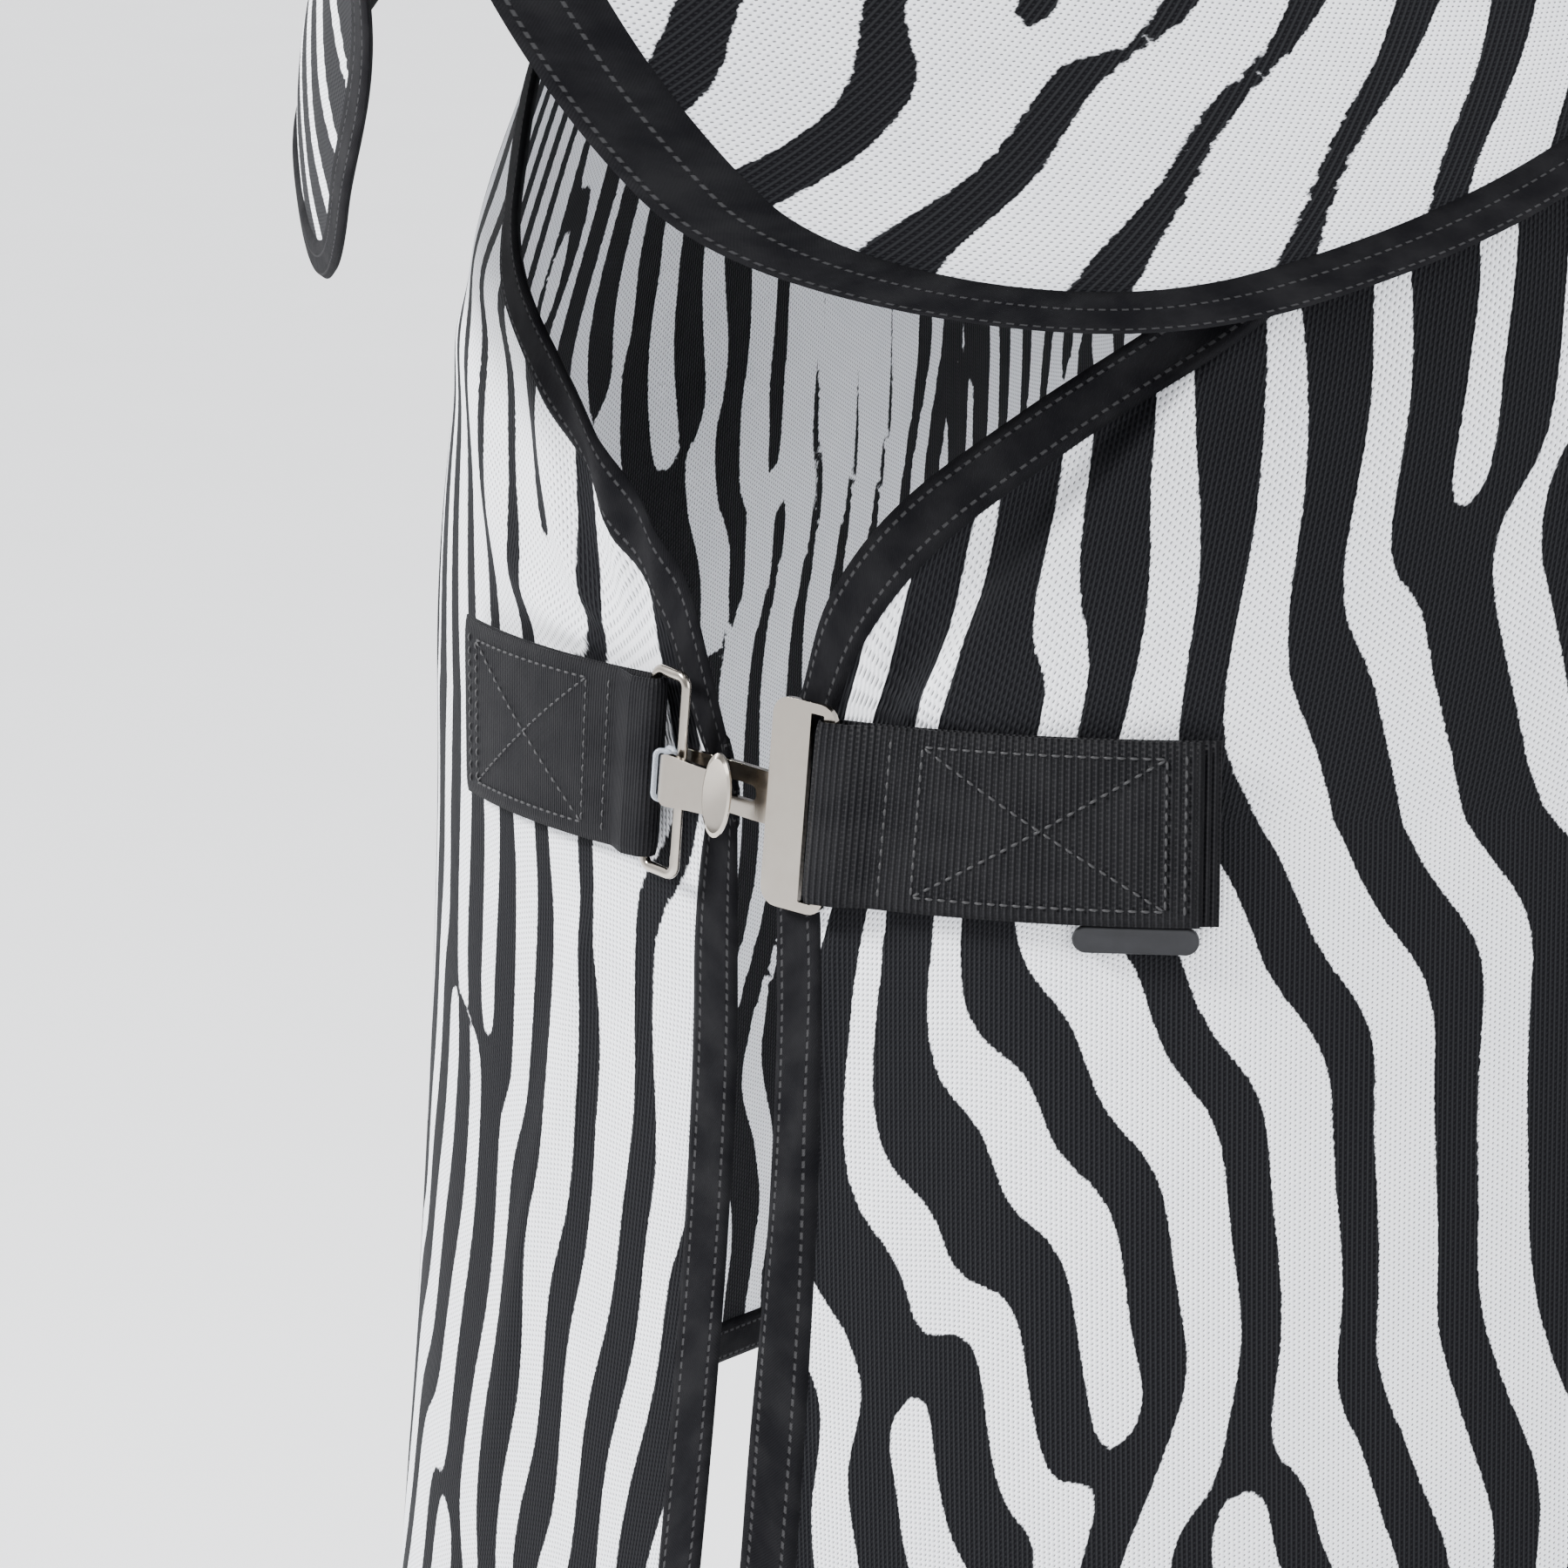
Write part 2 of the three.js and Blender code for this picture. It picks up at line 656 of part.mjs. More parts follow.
function hookSolid(plateHeight, slotHeight) {
  const middle = (plateNear + plateFar) / 2;
  const slotA = plateFar - slotBar - 2.1;
  const plate = extrude(outline(
    roundRect(middle, 0, plateFar - plateNear, plateHeight, 5),
    [roundRect(slotA, 0, 4.2, slotHeight, 0.4, 3)],
  ), metalThick).translate(0, 0, barF - metalThick / 2);
  const bend = spread(10, -90, -270).map((deg) => {
    const angle = THREE.MathUtils.degToRad(deg);
    const narrow = 1 - 0.32 * Math.cos(angle) ** 2;
    return [
      bendA + bendRadius * Math.cos(angle),
      backLegF + bendRadius + bendRadius * Math.sin(angle),
      tongueHeight * narrow,
    ];
  });
  const frontF = backLegF + 2 * bendRadius;
  const tongue = ribbon([
    [plateNear + 2, barF, tongueHeight],
    [plateNear - 4, barF - 0.5, tongueHeight],
    [-6, backLegF, tongueHeight],
    ...bend,
    [-13, frontF + 0.4, tongueHeight * 0.9],
    [-4, frontF + 0.9, tongueHeight * 0.85],
  ]);
  const slot = extrude(outline(roundRect(-5, 0, 17, 4.6, 2.2, 5)), 2 * bendRadius)
    .translate(0, 0, backLegF - bendRadius);
  const edge = [[headRadius, 0.6], [headRadius, -0.4]];
  const rim = [[0, 0.6], [2.6, 0.7], [3.7, 1.2], ...edge, [3.6, -0.9], [0, -0.9]];
  const head = plain(new THREE.LatheGeometry(rim.map(([r, h]) => new THREE.Vector2(r, h)), 28));
  head.rotateX(Math.PI / 2).scale(1, headHeight / (2 * headRadius), 1);
  head.rotateY(THREE.MathUtils.degToRad(8)).translate(-3.4, 0, frontF + 1.6);
  const parts = [tongue, plate, head].map(toSolid);
  return parts[0].add(parts[1]).subtract(toSolid(slot)).add(parts[2]);
}

// The looped end of webbing sewn double round a bar, as an outline along (s, f).
const loopTail = 10;            // from the loop's end to where the plain band starts

function loopEnd(holeAt, hole) {
  return holeAt + hole[0] / 2 + hole[1] / 2;
}

function loopOutline(holeAt, hole) {
  const [holeLength, holeHeight] = hole;
  const middle = loopMiddle(hole);
  const round = holeHeight / 2 + webbingThick;
  const left = holeAt - holeLength / 2 + holeHeight / 2;
  const nose = spread(8, 90, 270).map((deg) => {
    const angle = THREE.MathUtils.degToRad(deg);
    return [left + round * Math.cos(angle), middle + round * Math.sin(angle)];
  });
  const from = loopEnd(holeAt, hole);
  const tail = from + loopTail;
  const thick = 2 * webbingThick;
  return outline([
    ...nose, [from, strapLift], [tail, strapLift], [tail, strapLift + thick],
    [from + 8, strapLift + thick], [from, middle + round * 0.86],
  ], [roundRect(holeAt, middle, holeLength, holeHeight, holeHeight / 2 - 0.05, 4)]);
}

// Doubled webbing from its loop to `end`, put in place by `place`.
function strapSolid(holeAt, hole, end, width, steps, place) {
  const loop = extrude(loopOutline(holeAt, hole), width).translate(0, 0, -width / 2);
  const from = loopEnd(holeAt, hole) + loopTail - 0.5;
  const band = loft(spread(steps, from, end).map((s) => [
    V(s, strapLift, -width / 2),
    V(s, strapLift, width / 2),
    V(s, strapLift + 2 * webbingThick, width / 2),
    V(s, strapLift + 2 * webbingThick, -width / 2),
  ]), false);
  return fromSolid(toSolid(deform(loop, place)).add(toSolid(deform(band, place))));
}

// ---- chest closure -----------------------------------------------------------
const across = (a, u, f) => V(a, chestY - f, closureZ + u);

// Places (s, f, z) on the chest; the closure's tilt shifts and shears the looped end.
function onChest(side, loopA) {
  const shift = -side * Math.sin(closureTilt) * loopA;
  return (p) => {
    const sheer = Math.tan(closureTilt) * p.z * (1 - smooth(38, 100, p.x));
    const s = p.x + side * sheer;
    const base = walk(plan, Math.max(0, s - frontGap));
    const out = planNormal(Math.max(0, s - frontGap));
    return V(side * (base.x + out.x * p.y), base.y + out.y * p.y, closureZ + shift + p.z);
  };
}

function chestStrap(name, side, loopA, holeAt, hole) {
  add(name, strapSolid(holeAt, hole, chestStrapEnd, webbing, 10, onChest(side, loopA)), 'web');
}

const tilt = new THREE.Matrix4().makeRotationZ(-closureTilt);

function inClosure(geometry) {
  return deform(geometry.applyMatrix4(tilt), (p) => across(p.x, p.y, p.z));
}

chestStrap('chest_strap_left', 1, barA, barS, loopHole);
chestStrap('chest_strap_right', -1, -ringLoopA, ringS, ringHole);
add('chest_hook', inClosure(fromSolid(hookSolid(hookPlateHeight, webbing + 2.4))), 'nickel');

function ovalRing(height) {
  const e1 = V(Math.cos(ringLean), 0, Math.sin(ringLean));
  const middle = V((ringBarA + ringLoopA) / 2, 0, (ringLoopF + backLegF + bendRadius) / 2);
  return wireLoop(middle, e1, V(0, 1, 0), ringWidth, height, ringWire, 2.9, 0.8);
}

add('chest_ring', inClosure(ovalRing(ringHeight)), 'nickel');

// Clear washers that stop the hook from rattling on the ring.
for (const [name, degrees] of [['washer_inner', 158], ['washer_outer', 202]]) {
  const angle = THREE.MathUtils.degToRad(degrees);
  const radial = V(Math.cos(angle), 0, Math.sin(angle));
  const centre = V(bendA, 0, backLegF + bendRadius).addScaledVector(radial, bendRadius);
  const height = tongueHeight * 0.74 + 4.4;
  add(name, inClosure(wireLoop(centre, radial, V(0, 1, 0), metalThick + 4.2, height, 1.5, 1.6)), 'silicone');
}

// Rubber label tab under the lower edge of the left chest strap.
const labelLength = 33;
const labelHeight = 7.4;
const labelThick = 2.2;
const labelShape = outline(roundRect(0, 0, labelLength, labelHeight, labelHeight / 2 - 0.1, 6));
const label = extrude(labelShape, labelThick);
label.translate(chestStrapEnd - labelLength / 2 - 5, -webbing / 2 - seamGap - labelHeight / 2, strapLift);
add('label_tab', deform(label, (p) => onChest(1, barA)(V(p.x, p.z, p.y))), 'rubber');

// ---- hook-and-loop closures along the throat -------------------------------------
const throatHeights = { lower: 0.33, middle: 0.6, upper: 0.87 };
const tabBelow = 1.8;           // thickness of the fastening under each tab

const throatGirth = neckGirth(0.5);
const throatBridge = 9;         // where the tabs leave the cloth to bridge the gap
const throatArch = 13;
const patchShort = 6;           // the fastening under a tab ends this far before the bridge
const throatOut = V(0, -0.9, -0.43);

// s is the distance round the throat in mm, plus on the left half.
function acrossThroat(s, v) {
  const q = Math.max(Math.abs(s), throatBridge) / throatGirth;
  if (Math.abs(s) >= throatBridge) {
    return neckSide(Math.sign(s))(q, v);
  }
  const k = s / throatBridge;
  const middle = neckSide(-1)(q, v).lerp(neckSide(1)(q, v), (1 + k) / 2);
  return middle.addScaledVector(throatOut, throatArch * (1 - k * k));
}

const throatSteps = { a: 1.5, b: 0.004, clampA: (s) => s, clampB: (v) => v };

for (const [name, v] of Object.entries(throatHeights)) {
  const half = throatTabWidth / 2 / neckRise(0.05);
  const piece = (from, to, count) => spread(count, from, to)
    .map((s) => spread(3, v - half, v + half).map((h) => [s, h]));
  const lift = halfBinding + 3 * seamGap;
  const patch = piece(-throatTabReach, -throatBridge - patchShort, 8);
  add(`throat_patch_${name}`, shell(patch, acrossThroat, throatSteps, 1, tabBelow, lift), 'tape');
  const tab = shell(piece(-throatTabReach, throatTabReach / 2, 18), acrossThroat, throatSteps, 1,
    webbingThick, lift + tabBelow + seamGap);
  add(`throat_tab_${name}`, tab, 'web');
}

// ---- withers rings that carry the neck cover --------------------------------------
const withersRing = { x: 44, width: 33, depth: 20, wire: 3 };
const withersBarY = 8;
const withersBarZ = 8.5;
const withersStrap = 24;
const withersThick = 2;
const rearBarY = withersBarY + withersRing.depth - withersRing.wire;

// A band with a round loop at its start, as an outline along (y, z).
function loopBand(barY, barZ, path) {
  const round = withersRing.wire / 2 + 0.4;
  const circle = (radius) => spread(20, 0, 2 * Math.PI).slice(0, 20)
    .map((angle) => [barY + radius * Math.cos(angle), barZ + radius * Math.sin(angle)]);
  const top = path.map(([y, z]) => [y, z + withersThick]);
  const band = [...path, ...top.reverse()];
  const loop = toSolid(extrude(outline(circle(round + withersThick), [circle(round)]), withersStrap));
  return fromSolid(loop.add(toSolid(extrude(outline(band), withersStrap))));
}

function backHeight(x, y) {
  const t = frontLength + (y - witherY) * (bodyLength - frontLength) / (rearY - witherY);
  return bodyPoint(t, x).z;
}

for (const [sideName, side] of sides) {
  const middle = V(side * withersRing.x, (withersBarY + rearBarY) / 2, withersBarZ);
  add(`withers_ring_${sideName}`, wireLoop(middle, V(1, 0, 0), V(0, 1, 0),
    withersRing.width, withersRing.depth, withersRing.wire, 2), 'nickel');
  const turn = (geometry) => deform(geometry.translate(0, 0, -withersStrap / 2), (p) =>
    V(side * (withersRing.x + p.z), p.x, p.y));
  const reach = withersRing.wire / 2 + 0.4 + withersThick / 2;
  const low = halfCloth + 2 * seamGap;
  const seat = (y) => backHeight(withersRing.x - withersStrap / 2, y) + low;
  const tab = loopBand(rearBarY, withersBarZ, [
    [rearBarY + reach, withersBarZ - 3],
    [rearBarY + 14, seat(rearBarY + 14) + 1],
    [rearBarY + 26, seat(rearBarY + 26)],
    [rearBarY + 44, seat(rearBarY + 44)],
  ]);
  add(`withers_loop_${sideName}`, turn(tab), 'web');
  const crest = (y) => neckHeight(y) + halfBinding + 2 * seamGap;
  const strap = loopBand(withersBarY, withersBarZ, [
    [-60, crest(-60)],
    [-46, crest(-46)],
    [-32, crest(-32)],
    [-14, crest(-22)],
    [withersBarY - reach, withersBarZ + 1],
  ]);
  add(`neck_strap_${sideName}`, turn(strap), 'web');
}

// Height of the neck cover near the crest, beside the seam.
function neckHeight(y) {
  const steps = spread(40, 0, 0.3).map((v) => neckSide(1)(0.955, v));
  const at = steps.reduce((best, p) => (Math.abs(p.y - y) < Math.abs(best.y - y) ? p : best));
  return at.z;
}

// ---- crossed belly straps, hooked on the left and sewn on the right ---------------
const bellyPlate = bellyWebbing + 7.6;
const bellyRing = bellyWebbing + 8.8;
const bellyStub = 84;
const bellyCross = 5;           // how far the second strap passes below the first
const bellySewn = 62;

// Where the side of the sheet stands at a height, over the width of a strap.
function sideX(y, z) {
  const spots = [-1, 0, 1].map((k) => {
    const c = column(planDistanceAt(y + k * bellyWebbing / 2));
    return columnPoint(c, c.curved + (c.bend - Math.max(z, c.hem))).x;
  });
  return Math.max(...spots);
}

// The base path of a belly strap, from the left hook down, under and up the right side.
function bellyPath(leftY, rightY, drop) {
  const low = bellyZ - drop;
  const leftX = sideX(leftY, hemZ);
  const rightX = -sideX(rightY, hemZ);
  const knots = [
    V(leftX, leftY, hemZ - 18),
    V(leftX * 0.86, 0, lerp(hemZ, low, 0.52)),
    V(leftX * 0.5, 0, lerp(hemZ, low, 0.9)),
    V(0, 0, low),
    V(rightX * 0.5, 0, lerp(hemZ, low, 0.9)),
    V(rightX * 0.86, 0, lerp(hemZ, low, 0.52)),
    V(rightX, rightY, hemZ - 18),
  ];
  const under = spread(24, 0, 1).map((k) => catmull(knots, k));
  const left = spread(5, bellySideZ + 40, hemZ - 10).map((z) => V(sideX(leftY, z), leftY, z));
  const right = spread(4, hemZ - 10, hemZ + bellySewn).map((z) => V(-sideX(rightY, z), rightY, z));
  const all = [...left, ...under, ...right];
  const bendOf = (x) => lerp(leftY, rightY, smooth(leftX, rightX, x));
  return measured(all.map((p) => V(p.x, bendOf(p.x), p.z)));
}

function onPath(line, offset) {
  return (p) => {
    const s = clamp01((p.x + offset) / line.length) * line.length;
    const base = walk(line, s);
    const along = walk(line, Math.min(s + 4, line.length)).sub(walk(line, Math.max(s - 4, 0))).normalize();
    const out = V(-along.z, 0, along.x).normalize();
    return V(base.x + out.x * p.y, base.y + p.z, base.z + out.z * p.y);
  };
}

for (const [name, leftY, rightY, drop] of [
  ['front', bellyFrontY, bellyRearY, 0],
  ['rear', bellyRearY, bellyFrontY, bellyCross],
]) {
  const baseX = sideX(leftY, bellySideZ);
  const hangX = baseX - barF + loopMiddle(loopHole);
  const hang = (geometry) => deform(geometry, (p) => V(hangX + p.z, leftY + p.y, bellySideZ - p.x));
  const stub = strapSolid(-ringLoopA, ringHole, -ringLoopA + bellyStub, bellyWebbing, 5, (p) => {
    const z = bellySideZ + p.x;
    return V(sideX(leftY, z) + p.y, leftY + p.z, z);
  });
  add(`belly_stub_${name}`, stub, 'web');
  add(`belly_ring_${name}`, hang(ovalRing(bellyRing)), 'nickel');
  add(`belly_hook_${name}`, hang(fromSolid(hookSolid(bellyPlate, bellyWebbing + 2.4))), 'nickel');
  const line = bellyPath(leftY, rightY, drop);
  const strap = strapSolid(barA, loopHole, line.length - 44, bellyWebbing, 46, onPath(line, 40));
  add(`belly_strap_${name}`, strap, 'web');
}

// ---- tail flap ------------------------------------------------------------------
const tailGap = 1.9;            // the flap's middle surface behind the sheet's rear edge
const tailBulge = 26;
const tailSteps = { a: 0.01, b: 0.01, clampA: (a) => a, clampB: (b) => b };

function rearEdgeZ(x) {
  const c = column(bodyLength);
  const line = spread(60, 0, c.curved).map((d) => columnPoint(c, d));
  const at = line.findIndex((p) => p.x >= Math.abs(x));
  const k = at > 0 ? (Math.abs(x) - line[at - 1].x) / (line[at].x - line[at - 1].x) : 0;
  return at > 0 ? lerp(line[at - 1].z, line[at].z, k) : line[0].z;
}

// a runs -1..1 across the flap, b runs 0..1 from its sewn edge to its lower edge.
function tailPoint(a, b) {
  const x = a * tailFlapWidth / 2 * lerp(1, 0.86, b);
  const top = rearEdgeZ(a * tailFlapWidth / 2);
  const low = rearEdgeZ(0) - tailFlapLength + 40 * a ** 4;
  const belly = tailBulge * Math.sin(Math.PI * clamp01(b * 0.8)) * Math.cos(a * Math.PI / 2.4);
  return V(x, rearY + tailGap + belly + 14 * b, lerp(top, low, b));
}

const tailEdgeA = bindingWidth / (tailFlapWidth / 2);
const tailEdgeB = bindingWidth / tailFlapLength;
const tailGapA = seamGap / (tailFlapWidth / 2);
const tailAcross = spread(10, -1 + tailEdgeA + tailGapA, 1 - tailEdgeA - tailGapA);
const tailDown = spread(10, 0.004, 1 - tailEdgeB - tailGapA / 2);
add('tail_flap', shell(tailAcross.map((a) => tailDown.map((b) => [a, b])), tailPoint, tailSteps, -1,
  clothThick, -halfCloth), 'print');
const edgeIn = 1 - tailEdgeA;
const lowIn = 1 - tailEdgeB;
const tailHem = [
  ...tailDown.slice(0, -1).map((b) => [[-1, b], [-edgeIn, b]]),
  [[-1, lowIn], [-edgeIn, lowIn]],
  [[-1, 1], [-edgeIn, lowIn + 1e-4]],
  ...tailAcross.slice(1, -1).map((a) => [[a, 1], [a, lowIn]]),
  [[1, 1], [edgeIn, lowIn + 1e-4]],
  [[1, lowIn], [edgeIn, lowIn]],
  ...tailDown.slice(0, -1).reverse().map((b) => [[1, b], [edgeIn, b]]),
];
add('tail_flap_binding', shell(tailHem, tailPoint, tailSteps, -1, bindingThick, -halfBinding), 'tape');

export default group;
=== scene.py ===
"""A horse fly sheet with a neck cover: cloth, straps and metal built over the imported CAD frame."""
import json
import math
import bpy
import numpy as np
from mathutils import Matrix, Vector


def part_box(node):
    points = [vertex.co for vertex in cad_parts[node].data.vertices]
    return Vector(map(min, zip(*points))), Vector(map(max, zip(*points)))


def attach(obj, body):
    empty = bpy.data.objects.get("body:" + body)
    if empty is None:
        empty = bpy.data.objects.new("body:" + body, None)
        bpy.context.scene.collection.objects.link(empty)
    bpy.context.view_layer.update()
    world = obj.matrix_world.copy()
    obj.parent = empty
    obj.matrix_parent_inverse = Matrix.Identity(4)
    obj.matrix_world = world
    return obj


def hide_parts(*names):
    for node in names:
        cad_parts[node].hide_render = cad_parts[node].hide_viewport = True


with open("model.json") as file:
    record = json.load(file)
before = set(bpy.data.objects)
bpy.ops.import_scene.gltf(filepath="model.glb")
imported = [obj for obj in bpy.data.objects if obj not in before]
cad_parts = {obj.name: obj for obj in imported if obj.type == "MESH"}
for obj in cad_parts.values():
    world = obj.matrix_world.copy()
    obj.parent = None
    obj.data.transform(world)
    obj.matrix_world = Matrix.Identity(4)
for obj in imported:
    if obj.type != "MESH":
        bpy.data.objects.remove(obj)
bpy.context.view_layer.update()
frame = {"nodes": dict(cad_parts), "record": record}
scene = bpy.context.scene

# ---- driving dimensions, in millimetres, the same as the CAD model's ----------------
REAR_Y, WITHER_Y, CHEST_Y, CLOSURE_Z = 1320.0, -70.0, -540.0, -430.0
HEM_Z, SIDE_Z, FAN_END_Y = -740.0, -350.0, 140.0
CHEST_HALF, CHEST_DEPTH, BARREL_HALF, RUMP_HALF = 250.0, 300.0, 310.0, 245.0
BACK_DIP, CROUP_DROP = 45.0, 120.0
FRONT_FLARE, SIDE_FLARE, HEM_CORNER, FRONT_GAP = 24.0, 4.0, 60.0, 6.5
BINDING, NECK_BINDING, BINDING_THICK = 15.0, 19.0, 3.0
TAPE, TAPE_HALF_THICK = 32.0, 0.8
POLL_CREST = np.array([0.0, -700.0, 480.0])
POLL_THROAT = np.array([0.0, -870.0, 200.0])
POLL_HALF, THROAT_GAP = 92.0, 5.0
NECK_OVERLAP, NECK_LIFT, FLAP_LIFT, FLAP_FLARE = 52.0, 9.0, 22.0, 44.0
WEBBING, WEB_THICK = 50.0, 1.7
STRAP_LIFT = BINDING_THICK / 2 + 0.7
CLOSURE_TILT = math.radians(5)
CHEST_STRAP_END = 130.0
TAIL_LENGTH, TAIL_WIDTH = 420.0, 290.0
THROAT_TAB_REACH, THROAT_TAB_WIDTH, THROAT_BRIDGE, THROAT_ARCH = 36.0, 38.0, 9.0, 13.0
THROAT_HEIGHTS = {"lower": 0.33, "middle": 0.6, "upper": 0.87}
BELLY_WEB = 40.0
SAMPLES = 240
MM = 0.001


# ---- curves ------------------------------------------------------------------------
def smooth(low, high, x):
    k = np.clip((np.asarray(x, float) - low) / (high - low), 0, 1)
    return k * k * (3 - 2 * k)


def lerp(a, b, k):
    return a + (b - a) * k


def unit(v):
    return v / np.maximum(np.linalg.norm(v, axis=-1, keepdims=True), 1e-9)


def catmull(points, k):
    """Uniform Catmull-Rom curve through the points, at shares k of its knots."""
    points = np.asarray(points, float)
    padded = np.vstack([2 * points[0] - points[1], points, 2 * points[-1] - points[-2]])
    at = np.clip(np.asarray(k, float), 0, 1) * (len(points) - 1)
    at = np.minimum(at, len(points) - 1 - 1e-9)
    i = np.floor(at).astype(int)
    s = (at - i)[..., None]
    a, b, c, d = (padded[i + n] for n in range(4))
    square = (2 * a - 5 * b + 4 * c - d) * s**2
    return 0.5 * (2 * b + (c - a) * s + square + (3 * b - a - 3 * c + d) * s**3)


class Line:
    """A polyline that is walked by distance."""

    def __init__(self, points):
        self.points = np.asarray(points, float)
        steps = np.linalg.norm(np.diff(self.points, axis=0), axis=1)
        self.run = np.concatenate([[0], np.cumsum(steps)])
        self.length = float(self.run[-1])

    def at(self, distance):
        return np.stack([np.interp(distance, self.run, c) for c in self.points.T], axis=-1)


# ---- the body sheet's surface, left half ----------------------------------------------
def half_width(y):
    widened = lerp(CHEST_HALF, BARREL_HALF, smooth(CHEST_Y + CHEST_DEPTH, 350, y))
    return lerp(widened, RUMP_HALF, smooth(820, REAR_Y, y))


def plan_points():
    k = np.linspace(0, 2, SAMPLES + 1)
    angle = np.minimum(k, 1) * math.pi / 2
    y = np.where(k <= 1, CHEST_Y + CHEST_DEPTH * (1 - np.cos(angle)),
                 lerp(CHEST_Y + CHEST_DEPTH, REAR_Y, k - 1))
    x = np.where(k <= 1, FRONT_GAP + (CHEST_HALF - FRONT_GAP) * np.sin(angle), half_width(y))
    return np.stack([x, y, 0 * x], axis=-1)


plan = Line(plan_points())
FRONT_LENGTH = float(np.interp(FAN_END_Y, plan.points[:, 1], plan.run))
BODY_LENGTH = plan.length


def plan_normal(t):
    along = unit(plan.at(np.minimum(t + 3, BODY_LENGTH)) - plan.at(np.maximum(t - 3, 0)))
    return np.stack([along[..., 1], -along[..., 0], 0 * along[..., 0]], axis=-1)


NECKLINE_KNOTS = np.array([
    [FRONT_GAP, 0, 0], [15, 0, 30], [24, 0, 56], [44, 3, 82], [74, 17, 108], [118, 54, 146],
    [152, 120, 198], [168, 212, 264], [158, 318, 336], [112, 412, 396],
    [54, WITHER_Y - 12 - CHEST_Y, -7 - CLOSURE_Z], [0, WITHER_Y - CHEST_Y, -CLOSURE_Z],
]) + [0, CHEST_Y, CLOSURE_Z]
neckline = Line(catmull(NECKLINE_KNOTS, np.linspace(0, 1, SAMPLES + 1)))


def spine_z(y):
    dip = np.where(np.abs(y - 420) < 490, 0.5 * (1 + np.cos(math.pi * (y - 420) / 490)), 0)
    return -BACK_DIP * dip - CROUP_DROP * smooth(880, REAR_Y + 60, y)


def top_point(t):
    front = neckline.at(np.minimum(t / FRONT_LENGTH, 1) * neckline.length)
    y = lerp(WITHER_Y, REAR_Y, (t - FRONT_LENGTH) / (BODY_LENGTH - FRONT_LENGTH))
    rear = np.stack([0 * y, y, spine_z(y)], axis=-1)
    return np.where((t < FRONT_LENGTH)[..., None], front, rear)


def hem_height(t):
    front = 1 - np.clip(t / 90, 0, 1)
    rear = 1 - np.clip((BODY_LENGTH - t) / 140, 0, 1)
    return HEM_Z + HEM_CORNER * (front**2 + 1.4 * rear**2)


def column(t):
    t = np.asarray(t, float)
    share = np.clip(t / FRONT_LENGTH, 0, 1)
    top, foot = top_point(t), plan.at(t)
    bend = lerp(SIDE_Z, CLOSURE_Z - 60, (1 - share) ** 1.5)
    start = math.radians(62) * (1 - share)
    reach = np.hypot(foot[..., 0] - top[..., 0], foot[..., 1] - top[..., 1])
    curved = np.hypot(reach, top[..., 2] - bend) * 1.08
    hem = hem_height(t)
    return dict(top=top, foot=foot, bend=bend, start=start, curved=curved, hem=hem,
                length=curved + bend - hem, out=plan_normal(t), share=share)


def body_point(t, d):
    """The smooth cloth: t along the plan curve, d down the column."""
    t, d = np.broadcast_arrays(np.asarray(t, float), np.asarray(d, float))
    c = column(t)
    phi = lerp(c["start"], math.pi / 2, np.clip(d / c["curved"], 0, 1))
    s0 = np.sin(c["start"])
    across = (np.sin(phi) - s0) / (1 - s0)
    down = 1 - np.cos(phi) / np.cos(c["start"])
    x = lerp(c["top"][..., 0], c["foot"][..., 0], across)
    y = lerp(c["top"][..., 1], c["foot"][..., 1], across)
    upper = np.stack([x, y, lerp(c["top"][..., 2], c["bend"], down)], axis=-1)
    fall = np.clip((d - c["curved"]) / (c["length"] - c["curved"]), 0, 1.2)
    stand = lerp(FRONT_FLARE, SIDE_FLARE, c["share"]) * fall**1.5
    lower = c["foot"] + c["out"] * stand[..., None]
    lower[..., 2] = lerp(c["bend"], c["hem"], fall)
    return np.where((d < c["curved"])[..., None], upper, lower)


def body_normal(t, d):
    t, d = np.maximum(t, 3), np.maximum(d, 3)
    along = body_point(t + 2, d) - body_point(t - 2, d)
    down = body_point(t, d + 2) - body_point(t, d - 2)
    return unit(-np.cross(along, down))


# ---- folds of the worn cloth ------------------------------------------------------------
def ridge(x, width):
    return np.exp(-(x / width) ** 2)


def pleat_frame(p):
    """Distance across and along the chest pleat, from the strap's upper edge to the neckline."""
    x, z = np.abs(p[..., 0]), p[..., 2] - CLOSURE_Z
    return (x - 44) * 0.82 - (z - 26) * 0.57, (x - 44) * 0.57 + (z - 26) * 0.82


def pleat_reach(along):
    return smooth(-8, 10, along) * (1 - smooth(120, 150, along))


